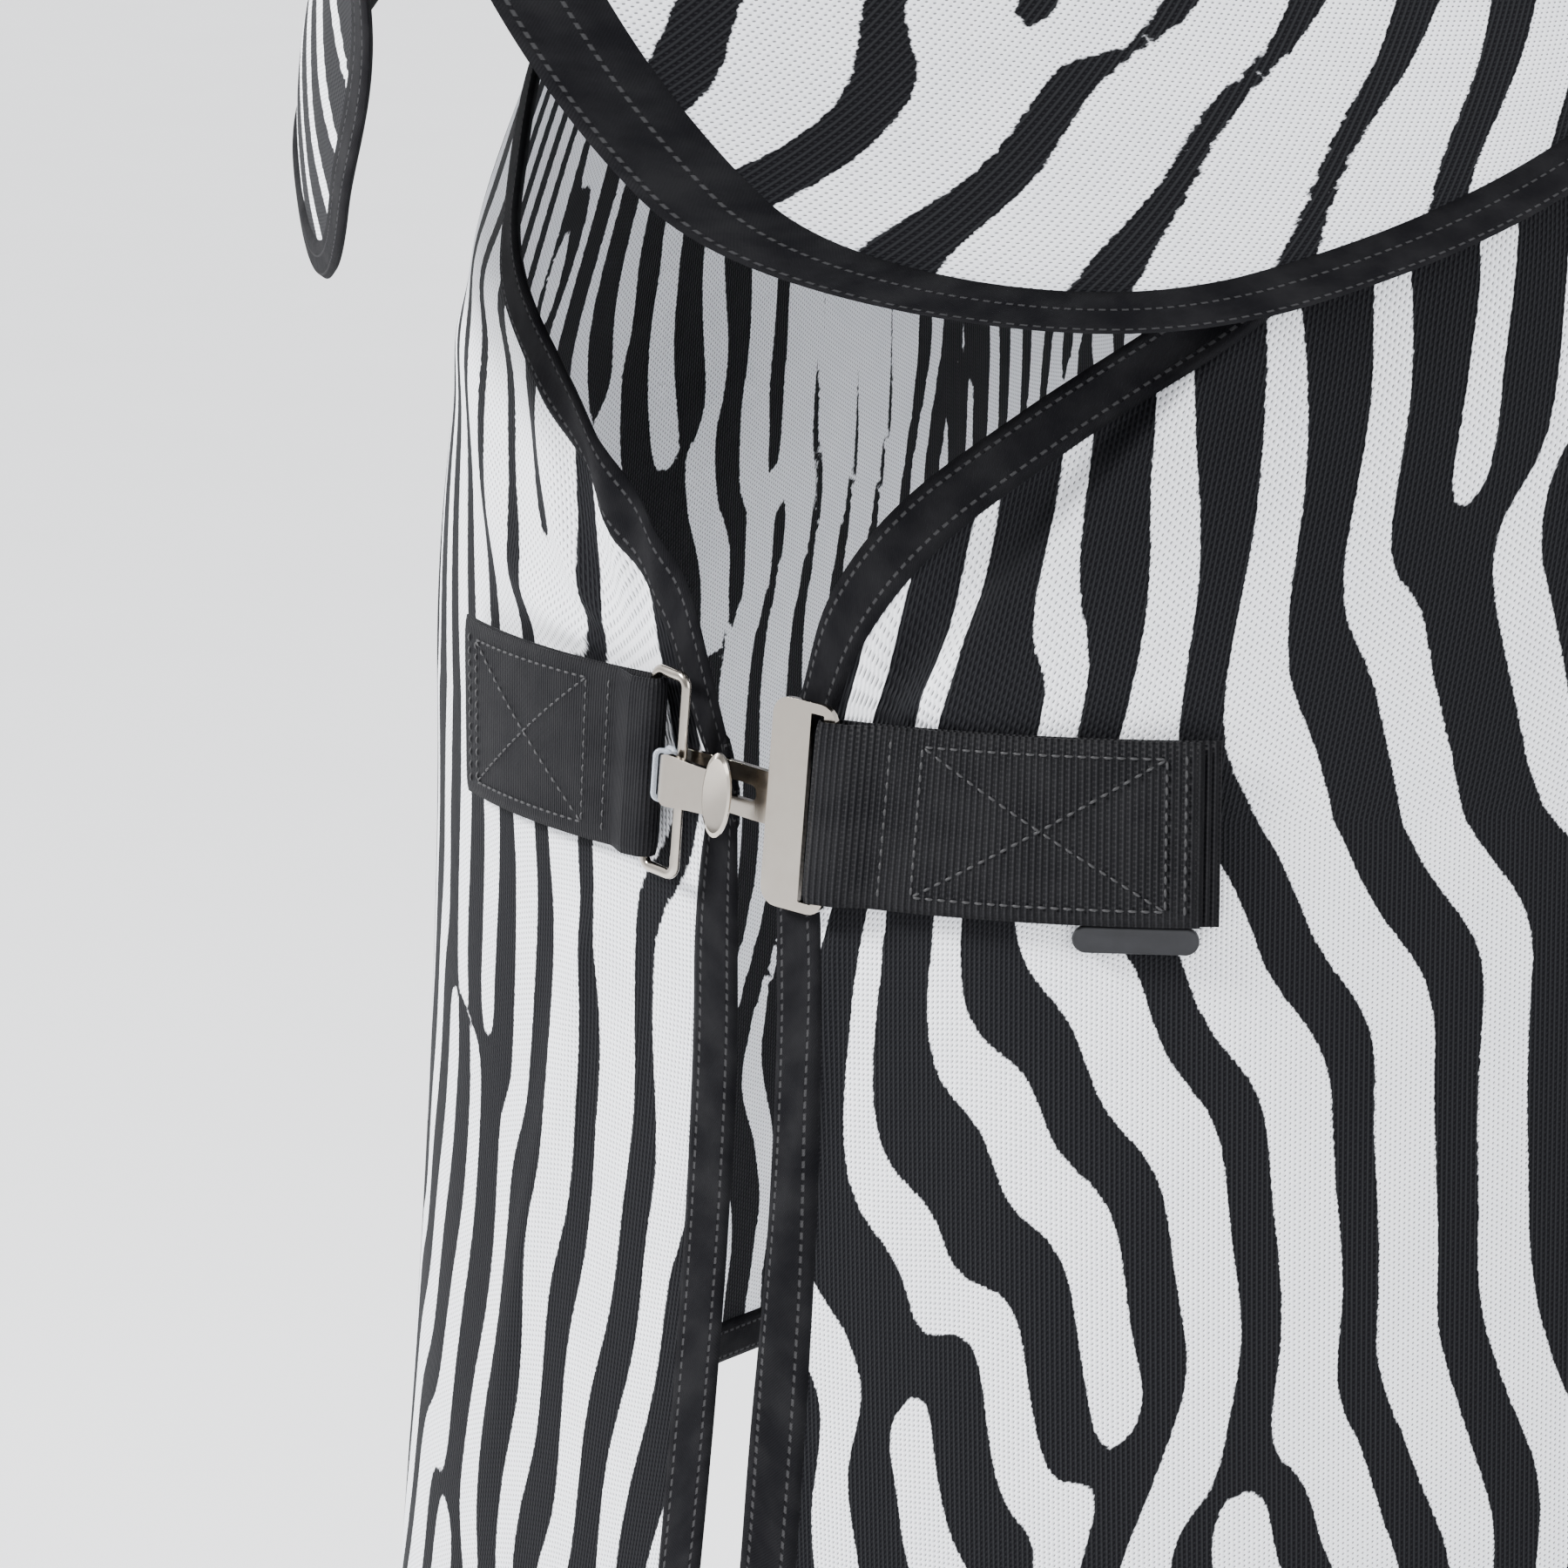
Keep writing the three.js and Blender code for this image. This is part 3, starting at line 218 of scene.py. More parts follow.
def chest_folds(side, p):
    """Folds round the closure, from a point's place on the chest."""
    x, z = np.abs(p[..., 0]), p[..., 2] - CLOSURE_Z
    in_front = 1 - smooth(CHEST_Y + 130, CHEST_Y + 260, p[..., 1])
    if side > 0:
        # The outer cloth of the pleat laps the inner.
        off, along = pleat_frame(p)
        lap = smooth(-3.4, 3.4, off) * np.exp(-np.maximum(off, 0) / 34) * 6.5
        dip = -3.2 * np.exp(-((off + 6) / 7) ** 2)
        pleat = (lap + dip) * pleat_reach(along)
        below = ridge(x - 21 - 0.12 * (z + 60), 4) * smooth(-28, -45, z) * (1 - smooth(-120, -170, -z))
        return (pleat + 1.6 * below) * in_front
    # Soft folds that fan from the ring up to the neckline.
    u, v = x - 34, z - 18
    radius, angle = np.hypot(u, v), np.arctan2(v, u)
    fan = sum(ridge(angle - a - 0.12 * np.sin(radius / 22 + a * 4), 0.12) * h
              for a, h in ((1.52, 2.8), (1.2, 4.2), (0.86, 4.4), (0.5, 3.0)))
    fan = fan * smooth(16, 52, radius) * (1 - smooth(150, 230, radius)) * smooth(0.05, 0.25, angle)
    under = ridge(x - 66 + 0.25 * (z + 60), 9) * smooth(-36, -60, z) * (1 - smooth(140, 260, -z))
    return (fan + 2.2 * under) * in_front


def body_fold(side, t, d, p):
    """How far the cloth stands out from the smooth surface, in millimetres."""
    length = column(t)["length"]
    share = np.clip(d / length, 0, 1)
    hem = 4.5 * np.sin(t / 46 + 1.1 * side + 0.6 * np.sin(t / 110)) * share**2.2
    hem = hem * smooth(60, 170, t) * (1 - smooth(BODY_LENGTH - 60, BODY_LENGTH, t))
    soft = 2.2 * np.sin(t / 71 + d / 190 + side) * np.sin(d / 88 + 0.7 * side + t / 260)
    soft = soft * smooth(150, 300, t) * np.sin(math.pi * share) ** 0.5
    shoulder = 3.5 * ridge(t - 560 - 0.35 * d, 46) * smooth(40, 200, d) * (1 - smooth(420, 640, d))
    at_straps = 1.0
    for y in (170.0, 520.0):
        strap_t = float(np.interp(y, plan.points[:, 1], plan.run))
        at_straps = at_straps * (1 - smooth(90, 40, np.abs(t - strap_t)) * smooth(0.5, 0.7, share))
    return (hem + soft + shoulder) * at_straps * smooth(0, 26, d) + chest_folds(side, p)


def body_cloth(side, t, d, lift=0.0):
    """The worn cloth and its outward normal on one side of the horse."""
    t, d = np.broadcast_arrays(np.asarray(t, float), np.asarray(d, float))
    p, n = body_point(t, d), body_normal(t, d)
    p = p + n * (body_fold(side, t, d, p) + lift)[..., None]
    p[..., 0] = np.maximum(p[..., 0], 0.15)
    return p * [side, 1, 1], n * [side, 1, 1]


# ---- the neck cover's surface --------------------------------------------------------------
FLAP_START = 0.185 * FRONT_LENGTH
THROAT_EDGE = np.array([
    [112, -6, 92], [82, -50, 122], [48, -98, 162], [21, -132, 214], [9, -172, 290],
    [5, -222, 390], [5, -272, 490], [5, -308, 570],
    [THROAT_GAP, POLL_THROAT[1] - CHEST_Y, POLL_THROAT[2] - CLOSURE_Z],
]) + [0, CHEST_Y, CLOSURE_Z]


def neck_raw(q, w):
    t = lerp(FLAP_START, FRONT_LENGTH + NECK_OVERLAP, q)
    below = NECK_OVERLAP * np.sin(math.pi * (0.12 + 0.88 * q))
    lift = (NECK_LIFT + FLAP_LIFT * (1 - q) ** 4)[..., None]
    out = body_normal(t, below)
    hem = body_point(t, np.maximum(below, 0)) + out * lift
    edge = body_point(np.minimum(t, FRONT_LENGTH), 0 * t) + out * lift
    at_crest = q > 0.999
    hem[..., 0] = np.where(at_crest, 0, hem[..., 0])
    edge[..., 0] = np.where(at_crest, 0, edge[..., 0])
    angle = math.pi * q
    poll = lerp(POLL_THROAT, POLL_CREST, ((1 - np.cos(angle)) / 2)[..., None])
    poll[..., 0] = POLL_HALF * np.sin(angle) + THROAT_GAP * (1 - q)
    chord = unit(poll - hem)
    blend = (1 - 0.8 * np.maximum(1 - q, 0) ** 0.8)[..., None]
    leave = 260 * unit(lerp(unit(edge - hem), chord, blend))
    forward = unit(np.array([0, POLL_THROAT[2] - POLL_CREST[2], POLL_CREST[1] - POLL_THROAT[1]])) * 420
    w = w[..., None]
    return (hem * (1 - 3 * w**2 + 2 * w**3) + leave * (w - 2 * w**2 + w**3)
            + poll * (3 * w**2 - 2 * w**3) + forward * (w**3 - w**2))


def neck_point(side, q, v):
    """q from the throat edge to the crest, v from the hem to the poll."""
    q, v = np.broadcast_arrays(np.asarray(q, float), np.asarray(v, float))
    start = 0.085 * (1 - np.clip(q / 0.24, 0, 1)) ** 2
    w = lerp(start, 1, v)
    pull = catmull(THROAT_EDGE, np.clip(w, 0, 1) ** 0.8) - neck_raw(0 * q, w)
    p = neck_raw(q, w) + pull * (np.maximum(1 - q, 0) ** 4)[..., None]
    if side > 0:
        return p
    across = np.where(q < 0.22, lerp(0.35, 1, smooth(0, 0.22, q)), 1 - smooth(0.22, 0.62, q))
    amount = FLAP_FLARE * across * (1 - smooth(0.02, 0.36, w))
    return p * [-1, 1, 1] + np.array([-0.86, -0.5, 0]) * amount[..., None]


def neck_cloth(side, q, v, lift=0.0):
    q, v = np.broadcast_arrays(np.asarray(q, float), np.asarray(v, float))
    a, b = np.clip(q, 0.005, 0.995), np.clip(v, 0.005, 0.995)
    round_neck = neck_point(side, a + 0.004, b) - neck_point(side, a - 0.004, b)
    up = neck_point(side, a, b + 0.004) - neck_point(side, a, b - 0.004)
    n = unit(np.cross(round_neck, up)) * side
    inner = np.sin(math.pi * np.clip(q, 0, 1)) ** 0.5 * smooth(0.0, 0.12, v) * (1 - smooth(0.9, 1, v))
    folds = 3.2 * np.sin(q * 17 + 1.3 * side + 3 * v) * np.sin(v * 9 + side + q * 4)
    hem_wave = 2.2 * np.sin(q * 26 + side) * (1 - smooth(0, 0.3, v)) * smooth(0.1, 0.3, q)
    p = neck_point(side, q, v) + n * (folds * inner + hem_wave + lift)[..., None]
    p[..., 0] = side * np.maximum(side * p[..., 0], 0.15)
    return p, n


def neck_length(points):
    return float(np.linalg.norm(np.diff(points, axis=0), axis=1).sum())


def neck_girth(v):
    return neck_length(neck_point(1, np.linspace(0, 1, 60), v))


def neck_rise(q):
    return neck_length(neck_point(1, q, np.linspace(0, 1, 60)))


# ---- the printed stripes: a wave field that orders itself into wandering stripes ------------
PRINT_CELL = 4.0
PRINT_SHAPE = (256, 640)


def grown_stripes():
    """A Swift-Hohenberg field with upright stripes, forks and round ends."""
    rng = np.random.default_rng(7)
    rows, cols = PRINT_SHAPE
    ky = 2 * math.pi * np.fft.fftfreq(rows, PRINT_CELL)[:, None]
    kx = 2 * math.pi * np.fft.rfftfreq(cols, PRINT_CELL)[None, :]
    wave = 2 * math.pi / 25
    k2 = (kx**2 + ky**2) / wave**2
    linear = 0.5 - (1 - k2) ** 2 - 0.3 * ky**2 / wave**2
    field = rng.normal(0, 0.6, PRINT_SHAPE)
    step = 0.35
    for _ in range(85):
        push = 0.25 * field**2 - field**3
        change = np.fft.rfft2(field + step * push)
        field = np.fft.irfft2(change / (1 - step * linear), s=PRINT_SHAPE)
    widths = rng.normal(0, 1, PRINT_SHAPE)
    blur = np.exp(-0.5 * (kx**2 * 26**2 + ky**2 * 60**2))
    widths = np.fft.irfft2(np.fft.rfft2(widths) * blur, s=PRINT_SHAPE)
    return field / field.std() + 0.5 * widths / widths.std()


STRIPES = grown_stripes()


def stripe_at(u, v):
    """The field at a place in millimetres of cloth, read smoothly."""
    u = np.asarray(u, float) + 14 * np.sin(np.asarray(v) / 97 + np.asarray(u) / 170)
    rows, cols = PRINT_SHAPE
    x, y = u / PRINT_CELL, np.asarray(v, float) / PRINT_CELL
    i, j = np.floor(x).astype(int), np.floor(y).astype(int)
    a, b = x - i, y - j
    value = 0
    for di, wi in ((0, 1 - a), (1, a)):
        for dj, wj in ((0, 1 - b), (1, b)):
            value = value + STRIPES[(j + dj) % rows, (i + di) % cols] * wi * wj
    return value


# ---- mesh builders ---------------------------------------------------------------------------
def new_piece(name, points, faces, material, uv=None, stripe=None):
    """A smooth mesh from points and cloth coordinates in millimetres."""
    mesh = bpy.data.meshes.new(name)
    mesh.from_pydata((np.asarray(points) * MM).tolist(), [], faces)
    mesh.materials.append(material)
    if uv is not None:
        layer = mesh.uv_layers.new(name="cloth")
        loops = np.zeros(len(mesh.loops), int)
        mesh.loops.foreach_get("vertex_index", loops)
        layer.data.foreach_set("uv", (np.asarray(uv)[loops] * MM).ravel())
    if stripe is not None:
        layer = mesh.attributes.new("stripe", "FLOAT", "POINT")
        layer.data.foreach_set("value", np.asarray(stripe, float).ravel())
    mesh.polygons.foreach_set("use_smooth", [True] * len(mesh.polygons))
    mesh.update()
    obj = bpy.data.objects.new(name, mesh)
    scene.collection.objects.link(obj)
    return obj


def grid_faces(rows, cols, turned=False, close=False):
    i, j = np.meshgrid(np.arange(rows - 1), np.arange(cols if close else cols - 1), indexing="ij")
    k = (j + 1) % cols
    quads = np.stack([i * cols + j, (i + 1) * cols + j, (i + 1) * cols + k, i * cols + k], axis=-1)
    quads = quads.reshape(-1, 4)
    return (quads[:, ::-1] if turned else quads).tolist()


def sheet_piece(name, p, uv, material, turned, bolder=0.0):
    """One layer of open mesh cloth, from a grid of points; bolder widens the black stripes."""
    rows, cols = p.shape[:2]
    stripe = stripe_at(uv[..., 0], uv[..., 1]) - bolder
    return new_piece(name, p.reshape(-1, 3), grid_faces(rows, cols, turned), material,
                     uv.reshape(-1, 2), stripe)


def closed_band(name, outside, inside, uv, material):
    """A closed band between two grids of points, with its ends capped."""
    rows, cols = outside.shape[:2]
    ring = np.concatenate([outside, inside[:, ::-1]], axis=1)
    ring_uv = np.concatenate([uv, uv[:, ::-1]], axis=1)
    faces = grid_faces(rows, 2 * cols, close=True)
    last = (rows - 1) * 2 * cols
    for j in range(cols - 1):
        a, b, c, d = j, j + 1, 2 * cols - 2 - j, 2 * cols - 1 - j
        faces.append([a, b, c, d])
        faces.append([last + d, last + c, last + b, last + a])
    obj = new_piece(name, ring.reshape(-1, 3), faces, material, ring_uv.reshape(-1, 2))
    face_outward(obj)
    return obj


def band_piece(name, p, n, uv, half, material, power=6):
    """A band of this half thickness on a grid: rows run along it and columns across, edges rounded."""
    k = np.linspace(-1, 1, p.shape[1])
    edge = np.maximum((1 - np.abs(k) ** power) ** 0.5, 0.05)[None, :, None]
    return closed_band(name, p + n * half * edge, p - n * half * edge, uv, material)


def face_outward(obj):
    """Turns a closed mesh's faces out if its volume comes out negative."""
    mesh = obj.data
    volume = 0.0
    for polygon in mesh.polygons:
        corners = [mesh.vertices[v].co for v in polygon.vertices]
        for i in range(1, len(corners) - 1):
            volume += corners[0].dot(corners[i].cross(corners[i + 1]))
    if volume < 0:
        mesh.flip_normals()


def stitches(name, lines, material):
    """Short thread bumps along polylines of (point, normal) samples in millimetres."""
    points, faces = [], []
    length, gap, radius = 2.5, 0.9, 0.42
    sides, ends = 6, 4
    for path, normal in lines:
        line = Line(path)
        count = max(1, int(line.length / (length + gap)))
        for i in range(count):
            a = (i + 0.5) * line.length / count
            head, tail = line.at(a + length / 2), line.at(a - length / 2)
            along = head - tail
            index = min(int(a / line.length * len(normal)), len(normal) - 1)
            up = unit(normal[index])
            side = unit(np.cross(along, up))
            base = len(points)
            for e in range(ends + 1):
                k = e / ends
                swell = radius * (0.35 + 0.65 * math.sin(math.pi * k) ** 0.5)
                centre = tail + along * k + up * (0.35 * math.sin(math.pi * k) - 0.1)
                for s in range(sides):
                    angle = 2 * math.pi * s / sides
                    points.append(centre + side * swell * math.cos(angle) + up * swell * math.sin(angle))
            for e in range(ends):
                for s in range(sides):
                    t = (s + 1) % sides
                    r = base + e * sides
                    faces.append([r + s, r + t, r + sides + t, r + sides + s])
            faces.append([base + s for s in reversed(range(sides))])
            faces.append([base + ends * sides + s for s in range(sides)])
    return new_piece(name, points, faces, material)


# ---- materials -----------------------------------------------------------------------------
class Nodes:
    """A short way to write a node material."""

    def __init__(self, name):
        self.material = bpy.data.materials.new(name)
        self.material.use_nodes = True
        self.tree = self.material.node_tree
        self.tree.nodes.clear()

    def add(self, kind, **values):
        node = self.tree.nodes.new(kind)
        for key, value in values.items():
            setattr(node, key, value)
        return node

    def link(self, source, target):
        self.tree.links.new(source, target)

    def feed(self, socket, value):
        if isinstance(value, (int, float, tuple)):
            socket.default_value = value
        else:
            self.link(value, socket)

    def math(self, operation, a, b=0.0, c=0.0):
        node = self.add("ShaderNodeMath", operation=operation)
        for socket, value in zip(node.inputs, (a, b, c)):
            self.feed(socket, value)
        return node.outputs[0]

    def ramp(self, value, low, high, out_low=0.0, out_high=1.0):
        node = self.add("ShaderNodeMapRange", interpolation_type="SMOOTHSTEP")
        for key, number in (("Value", value), ("From Min", low), ("From Max", high),
                            ("To Min", out_low), ("To Max", out_high)):
            self.feed(node.inputs[key], number)
        return node.outputs["Result"]

    def mix(self, factor, a, b):
        node = self.add("ShaderNodeMix", data_type="RGBA")
        self.feed(node.inputs[0], factor)
        self.feed(node.inputs[6], a)
        self.feed(node.inputs[7], b)
        return node.outputs[2]

    def noise(self, vector, scale, detail):
        node = self.add("ShaderNodeTexNoise")
        self.link(vector, node.inputs["Vector"])
        self.feed(node.inputs["Scale"], scale)
        self.feed(node.inputs["Detail"], detail)
        return node.outputs["Fac"]

    def uv(self):
        """The cloth's own coordinates in metres, as (whole, u, v)."""
        coords = self.add("ShaderNodeUVMap", uv_map="cloth")
        split = self.add("ShaderNodeSeparateXYZ")
        self.link(coords.outputs[0], split.inputs[0])
        return coords.outputs[0], split.outputs[0], split.outputs[1]

    def place(self):
        return self.add("ShaderNodeTexCoord").outputs["Object"]

    def wave(self, value, pitch):
        """cos of a coordinate in metres with a pitch in millimetres, from -1 to 1."""
        angle = self.math("MULTIPLY", value, 2 * math.pi / (pitch * MM))
        return self.math("COSINE", angle)

    def bump(self, height, strength, distance, normal=None):
        node = self.add("ShaderNodeBump")
        self.feed(node.inputs["Strength"], strength)
        self.feed(node.inputs["Distance"], distance * MM)
        self.link(height, node.inputs["Height"])
        if normal is not None:
            self.link(normal, node.inputs["Normal"])
        return node.outputs[0]

    def shader(self, **values):
        node = self.add("ShaderNodeBsdfPrincipled")
        for key, value in values.items():
            self.feed(node.inputs[key.replace("_", " ")], value)
        return node

    def finish(self, shader):
        out = self.add("ShaderNodeOutputMaterial")
        self.link(shader.outputs[0], out.inputs["Surface"])
        return self.material


def zebra_material():
    m = Nodes("zebra_mesh")
    whole, u, v = m.uv()
    stripe = m.add("ShaderNodeAttribute", attribute_name="stripe").outputs["Fac"]
    ragged = m.math("SUBTRACT", m.noise(whole, 620, 3), 0.5)
    edge = m.math("MULTIPLY_ADD", ragged, 0.34, stripe)
    white = m.ramp(edge, -0.02, 0.1)
    wales, courses = m.wave(u, 1.35), m.wave(v, 1.5)
    cell = m.math("ADD", wales, courses)
    hole = m.ramp(cell, 1.12, 1.55)
    tone = m.noise(whole, 38, 3)
    bleach = m.mix(tone, (0.74, 0.76, 0.81, 1), (0.86, 0.87, 0.9, 1))
    # The black stripes' ink is painted lighter on the raised wales: a painted highlight on the knit
    # columns.
    ink_and_painted_highlight = m.mix(m.ramp(wales, -1, 0.4), (0.014, 0.0145, 0.016, 1), (0.004, 0.004, 0.005, 1))
    thread = m.mix(white, ink_and_painted_highlight, bleach)
    # The knit's holes are painted near-black: painted shade standing in for the dark seen through the open
    # mesh.
    shade = m.mix(m.math("MULTIPLY", hole, 0.8), thread, (0.012, 0.012, 0.014, 1))
    knit = m.math("MULTIPLY_ADD", wales, -0.6, m.math("MULTIPLY", courses, -0.35))
    puckers = m.bump(m.noise(whole, 45, 3), 0.35, 1.2)
    relief = m.bump(knit, 0.55, 0.35, puckers)
    shader = m.shader(Base_Color=shade, Roughness=m.ramp(white, 0, 1, 0.62, 0.8), Normal=relief,
                      Specular_IOR_Level=m.ramp(white, 0, 1, 0.03, 0.22))
    return m.finish(shader)


def twill_material():
    """Black twill binding tape; u runs along it and v across, with two rows of stitching."""
    m = Nodes("binding_twill")
    whole, u, v = m.uv()
    diagonal = m.math("ADD", u, m.math("MULTIPLY", v, 1.6))
    twill = m.wave(diagonal, 0.95)
    fuzz = m.noise(whole, 2600, 2)
    tone = m.ramp(m.noise(whole, 70, 3), 0.3, 0.75)
    cloth = m.mix(tone, (0.004, 0.004, 0.005, 1), (0.010, 0.010, 0.011, 1))
    dashes = m.ramp(m.wave(u, 3.2), -0.5, -0.15)
    rows = None
    for offset in (2.6, 11.6):
        near = m.math("ABSOLUTE", m.math("SUBTRACT", v, offset * MM))
        row = m.ramp(near, 0.55 * MM, 0.25 * MM)
        rows = row if rows is None else m.math("MAXIMUM", rows, row)
    thread = m.math("MULTIPLY", rows, dashes)
    colour = m.mix(m.math("MULTIPLY", thread, 0.6), cloth, (0.05, 0.05, 0.052, 1))
    pull = m.math("MULTIPLY", rows, -0.9)
    height = m.math("ADD", m.math("MULTIPLY", thread, 1.8), pull)
    weave = m.math("MULTIPLY_ADD", twill, 0.3, m.math("MULTIPLY", fuzz, 0.5))
    crumple = m.bump(m.noise(whole, 140, 3), 0.5, 1.1)
    sewn = m.bump(height, 0.7, 0.5, crumple)
    relief = m.bump(weave, 0.5, 0.25, sewn)
    shader = m.shader(Base_Color=colour, Roughness=0.88, Normal=relief, Specular_IOR_Level=0.06)
    return m.finish(shader)


def webbing_material(name, pitch, strength, gloss):
    """Ribbed webbing; u runs along the strap and v across it."""
    m = Nodes(name)
    whole, u, v = m.uv()
    ribs = m.wave(u, pitch)
    shift = m.math("MULTIPLY", m.math("SIGN", m.wave(u, pitch * 2)), math.pi / 2)
    strands = m.math("COSINE", m.math("MULTIPLY_ADD", v, 2 * math.pi / (1.5 * MM), shift))
    tone = m.ramp(m.noise(whole, 90, 3), 0.25, 0.75)
    colour = m.mix(tone, (0.003, 0.003, 0.004, 1), (0.007, 0.007, 0.008, 1))
    lit = m.mix(m.ramp(ribs, 0.2, 1, 0, 0.5), colour, (0.022, 0.022, 0.024, 1))
    height = m.math("MULTIPLY_ADD", ribs, 0.7, m.math("MULTIPLY", strands, 0.3))
    relief = m.bump(height, strength, 0.5, m.bump(m.noise(whole, 120, 2), 0.2, 0.8))
    shader = m.shader(Base_Color=lit, Roughness=gloss, Normal=relief, Specular_IOR_Level=0.07)
    return m.finish(shader)


def nickel_material():
    m = Nodes("nickel")
    place = m.place()
    stretched = m.add("ShaderNodeMapping")
    m.link(place, stretched.inputs["Vector"])
    stretched.inputs["Scale"].default_value = (1.0, 1.0, 0.06)
    scratches = m.noise(stretched.outputs[0], 2400, 3)
    smudge = m.noise(place, 90, 3)
    colour = m.mix(smudge, (0.47, 0.43, 0.375, 1), (0.30, 0.27, 0.235, 1))
    rough = m.ramp(smudge, 0.3, 0.75, 0.12, 0.26)
    relief = m.bump(scratches, 0.12, 0.05, m.bump(m.noise(place, 160, 2), 0.12, 0.25))
    shader = m.shader(Base_Color=colour, Metallic=1.0, Roughness=rough, Normal=relief)
    return m.finish(shader)


def silicone_material():
    m = Nodes("silicone")
    haze = m.noise(m.place(), 500, 2)
    shader = m.shader(Base_Color=(0.80, 0.86, 0.95, 1), Roughness=m.ramp(haze, 0, 1, 0.12, 0.3),
                      IOR=1.41, Transmission_Weight=0.75)
    return m.finish(shader)


def rubber_material():
    m = Nodes("rubber")
    place = m.place()
    grain = m.noise(place, 1900, 2)
    colour = m.mix(m.noise(place, 220, 2), (0.012, 0.0125, 0.014, 1), (0.02, 0.0205, 0.023, 1))
    shader = m.shader(Base_Color=colour, Roughness=m.ramp(grain, 0, 1, 0.45, 0.62),
                      Normal=m.bump(grain, 0.25, 0.1), Specular_IOR_Level=0.2)
    return m.finish(shader)


def thread_material():
    m = Nodes("thread")
    place = m.place()
    twist = m.noise(place, 3000, 1)
    colour = m.mix(twist, (0.005, 0.005, 0.006, 1), (0.016, 0.016, 0.018, 1))
    return m.finish(m.shader(Base_Color=colour, Roughness=0.6, Normal=m.bump(twist, 0.4, 0.1)))


ZEBRA = zebra_material()
TWILL = twill_material()
HEAVY_WEB = webbing_material("webbing_heavy", 1.75, 0.9, 0.5)
FINE_WEB = webbing_material("webbing_fine", 1.0, 0.5, 0.62)
NICKEL = nickel_material()
SILICONE = silicone_material()
RUBBER = rubber_material()
THREAD = thread_material()

CAD_FINISH = {"zebra_mesh": ZEBRA, "binding": TWILL, "webbing": HEAVY_WEB, "nickel": NICKEL,
              "silicone": SILICONE, "rubber": RUBBER}
for part in frame["record"]["subparts"]:
    slots = frame["nodes"][part["node"]].data.materials
    slots.clear()
    slots.append(CAD_FINISH[part["material_slot"]])


def settle(obj, body, slot_name, *nodes):
    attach(obj, body)
    if nodes:
        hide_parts(*nodes)
    return obj


# ---- body sheet --------------------------------------------------------------------------------
SIDES = (("left", 1), ("right", -1))


def stations(breaks):
    """Sample places from (from, to, step) stretches."""
    runs = [np.linspace(a, b, max(2, round((b - a) / step) + 1)) for a, b, step in breaks]
    return np.unique(np.round(np.concatenate(runs), 4))


def body_columns():
    return stations([(BINDING - 1, 170, 2.0), (170, 420, 3.5), (420, BODY_LENGTH - BINDING + 1, 5.0)])


def cloth_area(p):
    a = p[1:, :-1] - p[:-1, :-1]
    b = p[:-1, 1:] - p[:-1, :-1]
    return float(np.linalg.norm(np.cross(a, b), axis=-1).sum()) * MM * MM


BODY_PRINT_START = {1: (0, 0), -1: (1130, 300)}
SHEET_DROP = 0.93


def upright_run(t, d):
    """Distance round the sheet that keeps the print upright on the chest, where columns fan out."""
    p = body_point(t, d)
    rise = np.maximum(p[..., 2] - CLOSURE_Z, 0)
    reach = p[..., 0] + p[..., 1] - 0.3 * rise
    upright = np.interp(reach, plan.points[:, 0] + plan.points[:, 1], plan.run)
    return lerp(upright, t, smooth(240, 620, t))


def body_panel(name, side):
    t = body_columns()
    length = column(t)["length"]
    top = np.where(t < FRONT_LENGTH, BINDING - 1, 0.2)
    share = np.concatenate([np.linspace(0, 0.4, 100), np.linspace(0.4, 1, 90)[1:]])
    d = top[:, None] + (length - BINDING + 1 - top)[:, None] * share[None, :]
    tt = np.broadcast_to(t[:, None], d.shape)
    p, _ = body_cloth(side, tt, d)
    start_u, start_v = BODY_PRINT_START[side]
    uv = np.stack([upright_run(tt, d) + start_u, d + start_v], axis=-1)
    obj = sheet_piece(f"sheet_cloth_{name}", p, uv, ZEBRA, side > 0)
    settle(obj, "sheet", "zebra_mesh", f"body_panel_{name}")
    flat = (BODY_LENGTH * MM, SHEET_DROP)
    min(cloth_area(p), flat[0] * flat[1])


def along_band(p):
    """Distance along a band's middle column, in millimetres."""
    middle = p[:, p.shape[1] // 2]
    steps = np.linalg.norm(np.diff(middle, axis=0), axis=1)
    return np.concatenate([[0], np.cumsum(steps)])


def cloth_band(name, grid, width, material, half=BINDING_THICK / 2):
    p, n = grid
    along = along_band(p)
    across = np.linspace(0, width, p.shape[1])
    uv = np.stack(np.broadcast_arrays(along[:, None], across[None, :]), axis=-1)
    return band_piece(name, p, n, uv, half, material)


def body_bindings(name, side):
    across = np.linspace(0, BINDING, 9)
    t = stations([(0.5, 170, 2.0), (170, 420, 3.5), (420, BODY_LENGTH, 8.0)])
    front = t[t <= FRONT_LENGTH]
    parts = {
        "neckline": (front[:, None] + 0 * across, across + 0 * front[:, None]),
        "hem": (t[:, None] + 0 * across, column(t)["length"][:, None] - across),
    }
    for edge, at in (("front", across), ("rear", BODY_LENGTH - across)):
        share = np.linspace(0, 1, 130)[:, None]
        parts[edge] = (at + 0 * share, 0.3 + share * (column(at)["length"] - 0.3))
    for edge, (tt, dd) in parts.items():
        obj = cloth_band(f"{edge}_edge_{name}", body_cloth(side, tt, dd), BINDING, TWILL)
        settle(obj, "sheet", "binding", f"{edge}_binding_{name}")


def both_sides(p, n, across):
    """Turns the part of a centre tape that has a negative place across it to the right side."""
    flip = np.where(across < 0, -1, 1)[..., None] * [1, 0, 0] + [0, 1, 1]
    return p * flip, n * flip


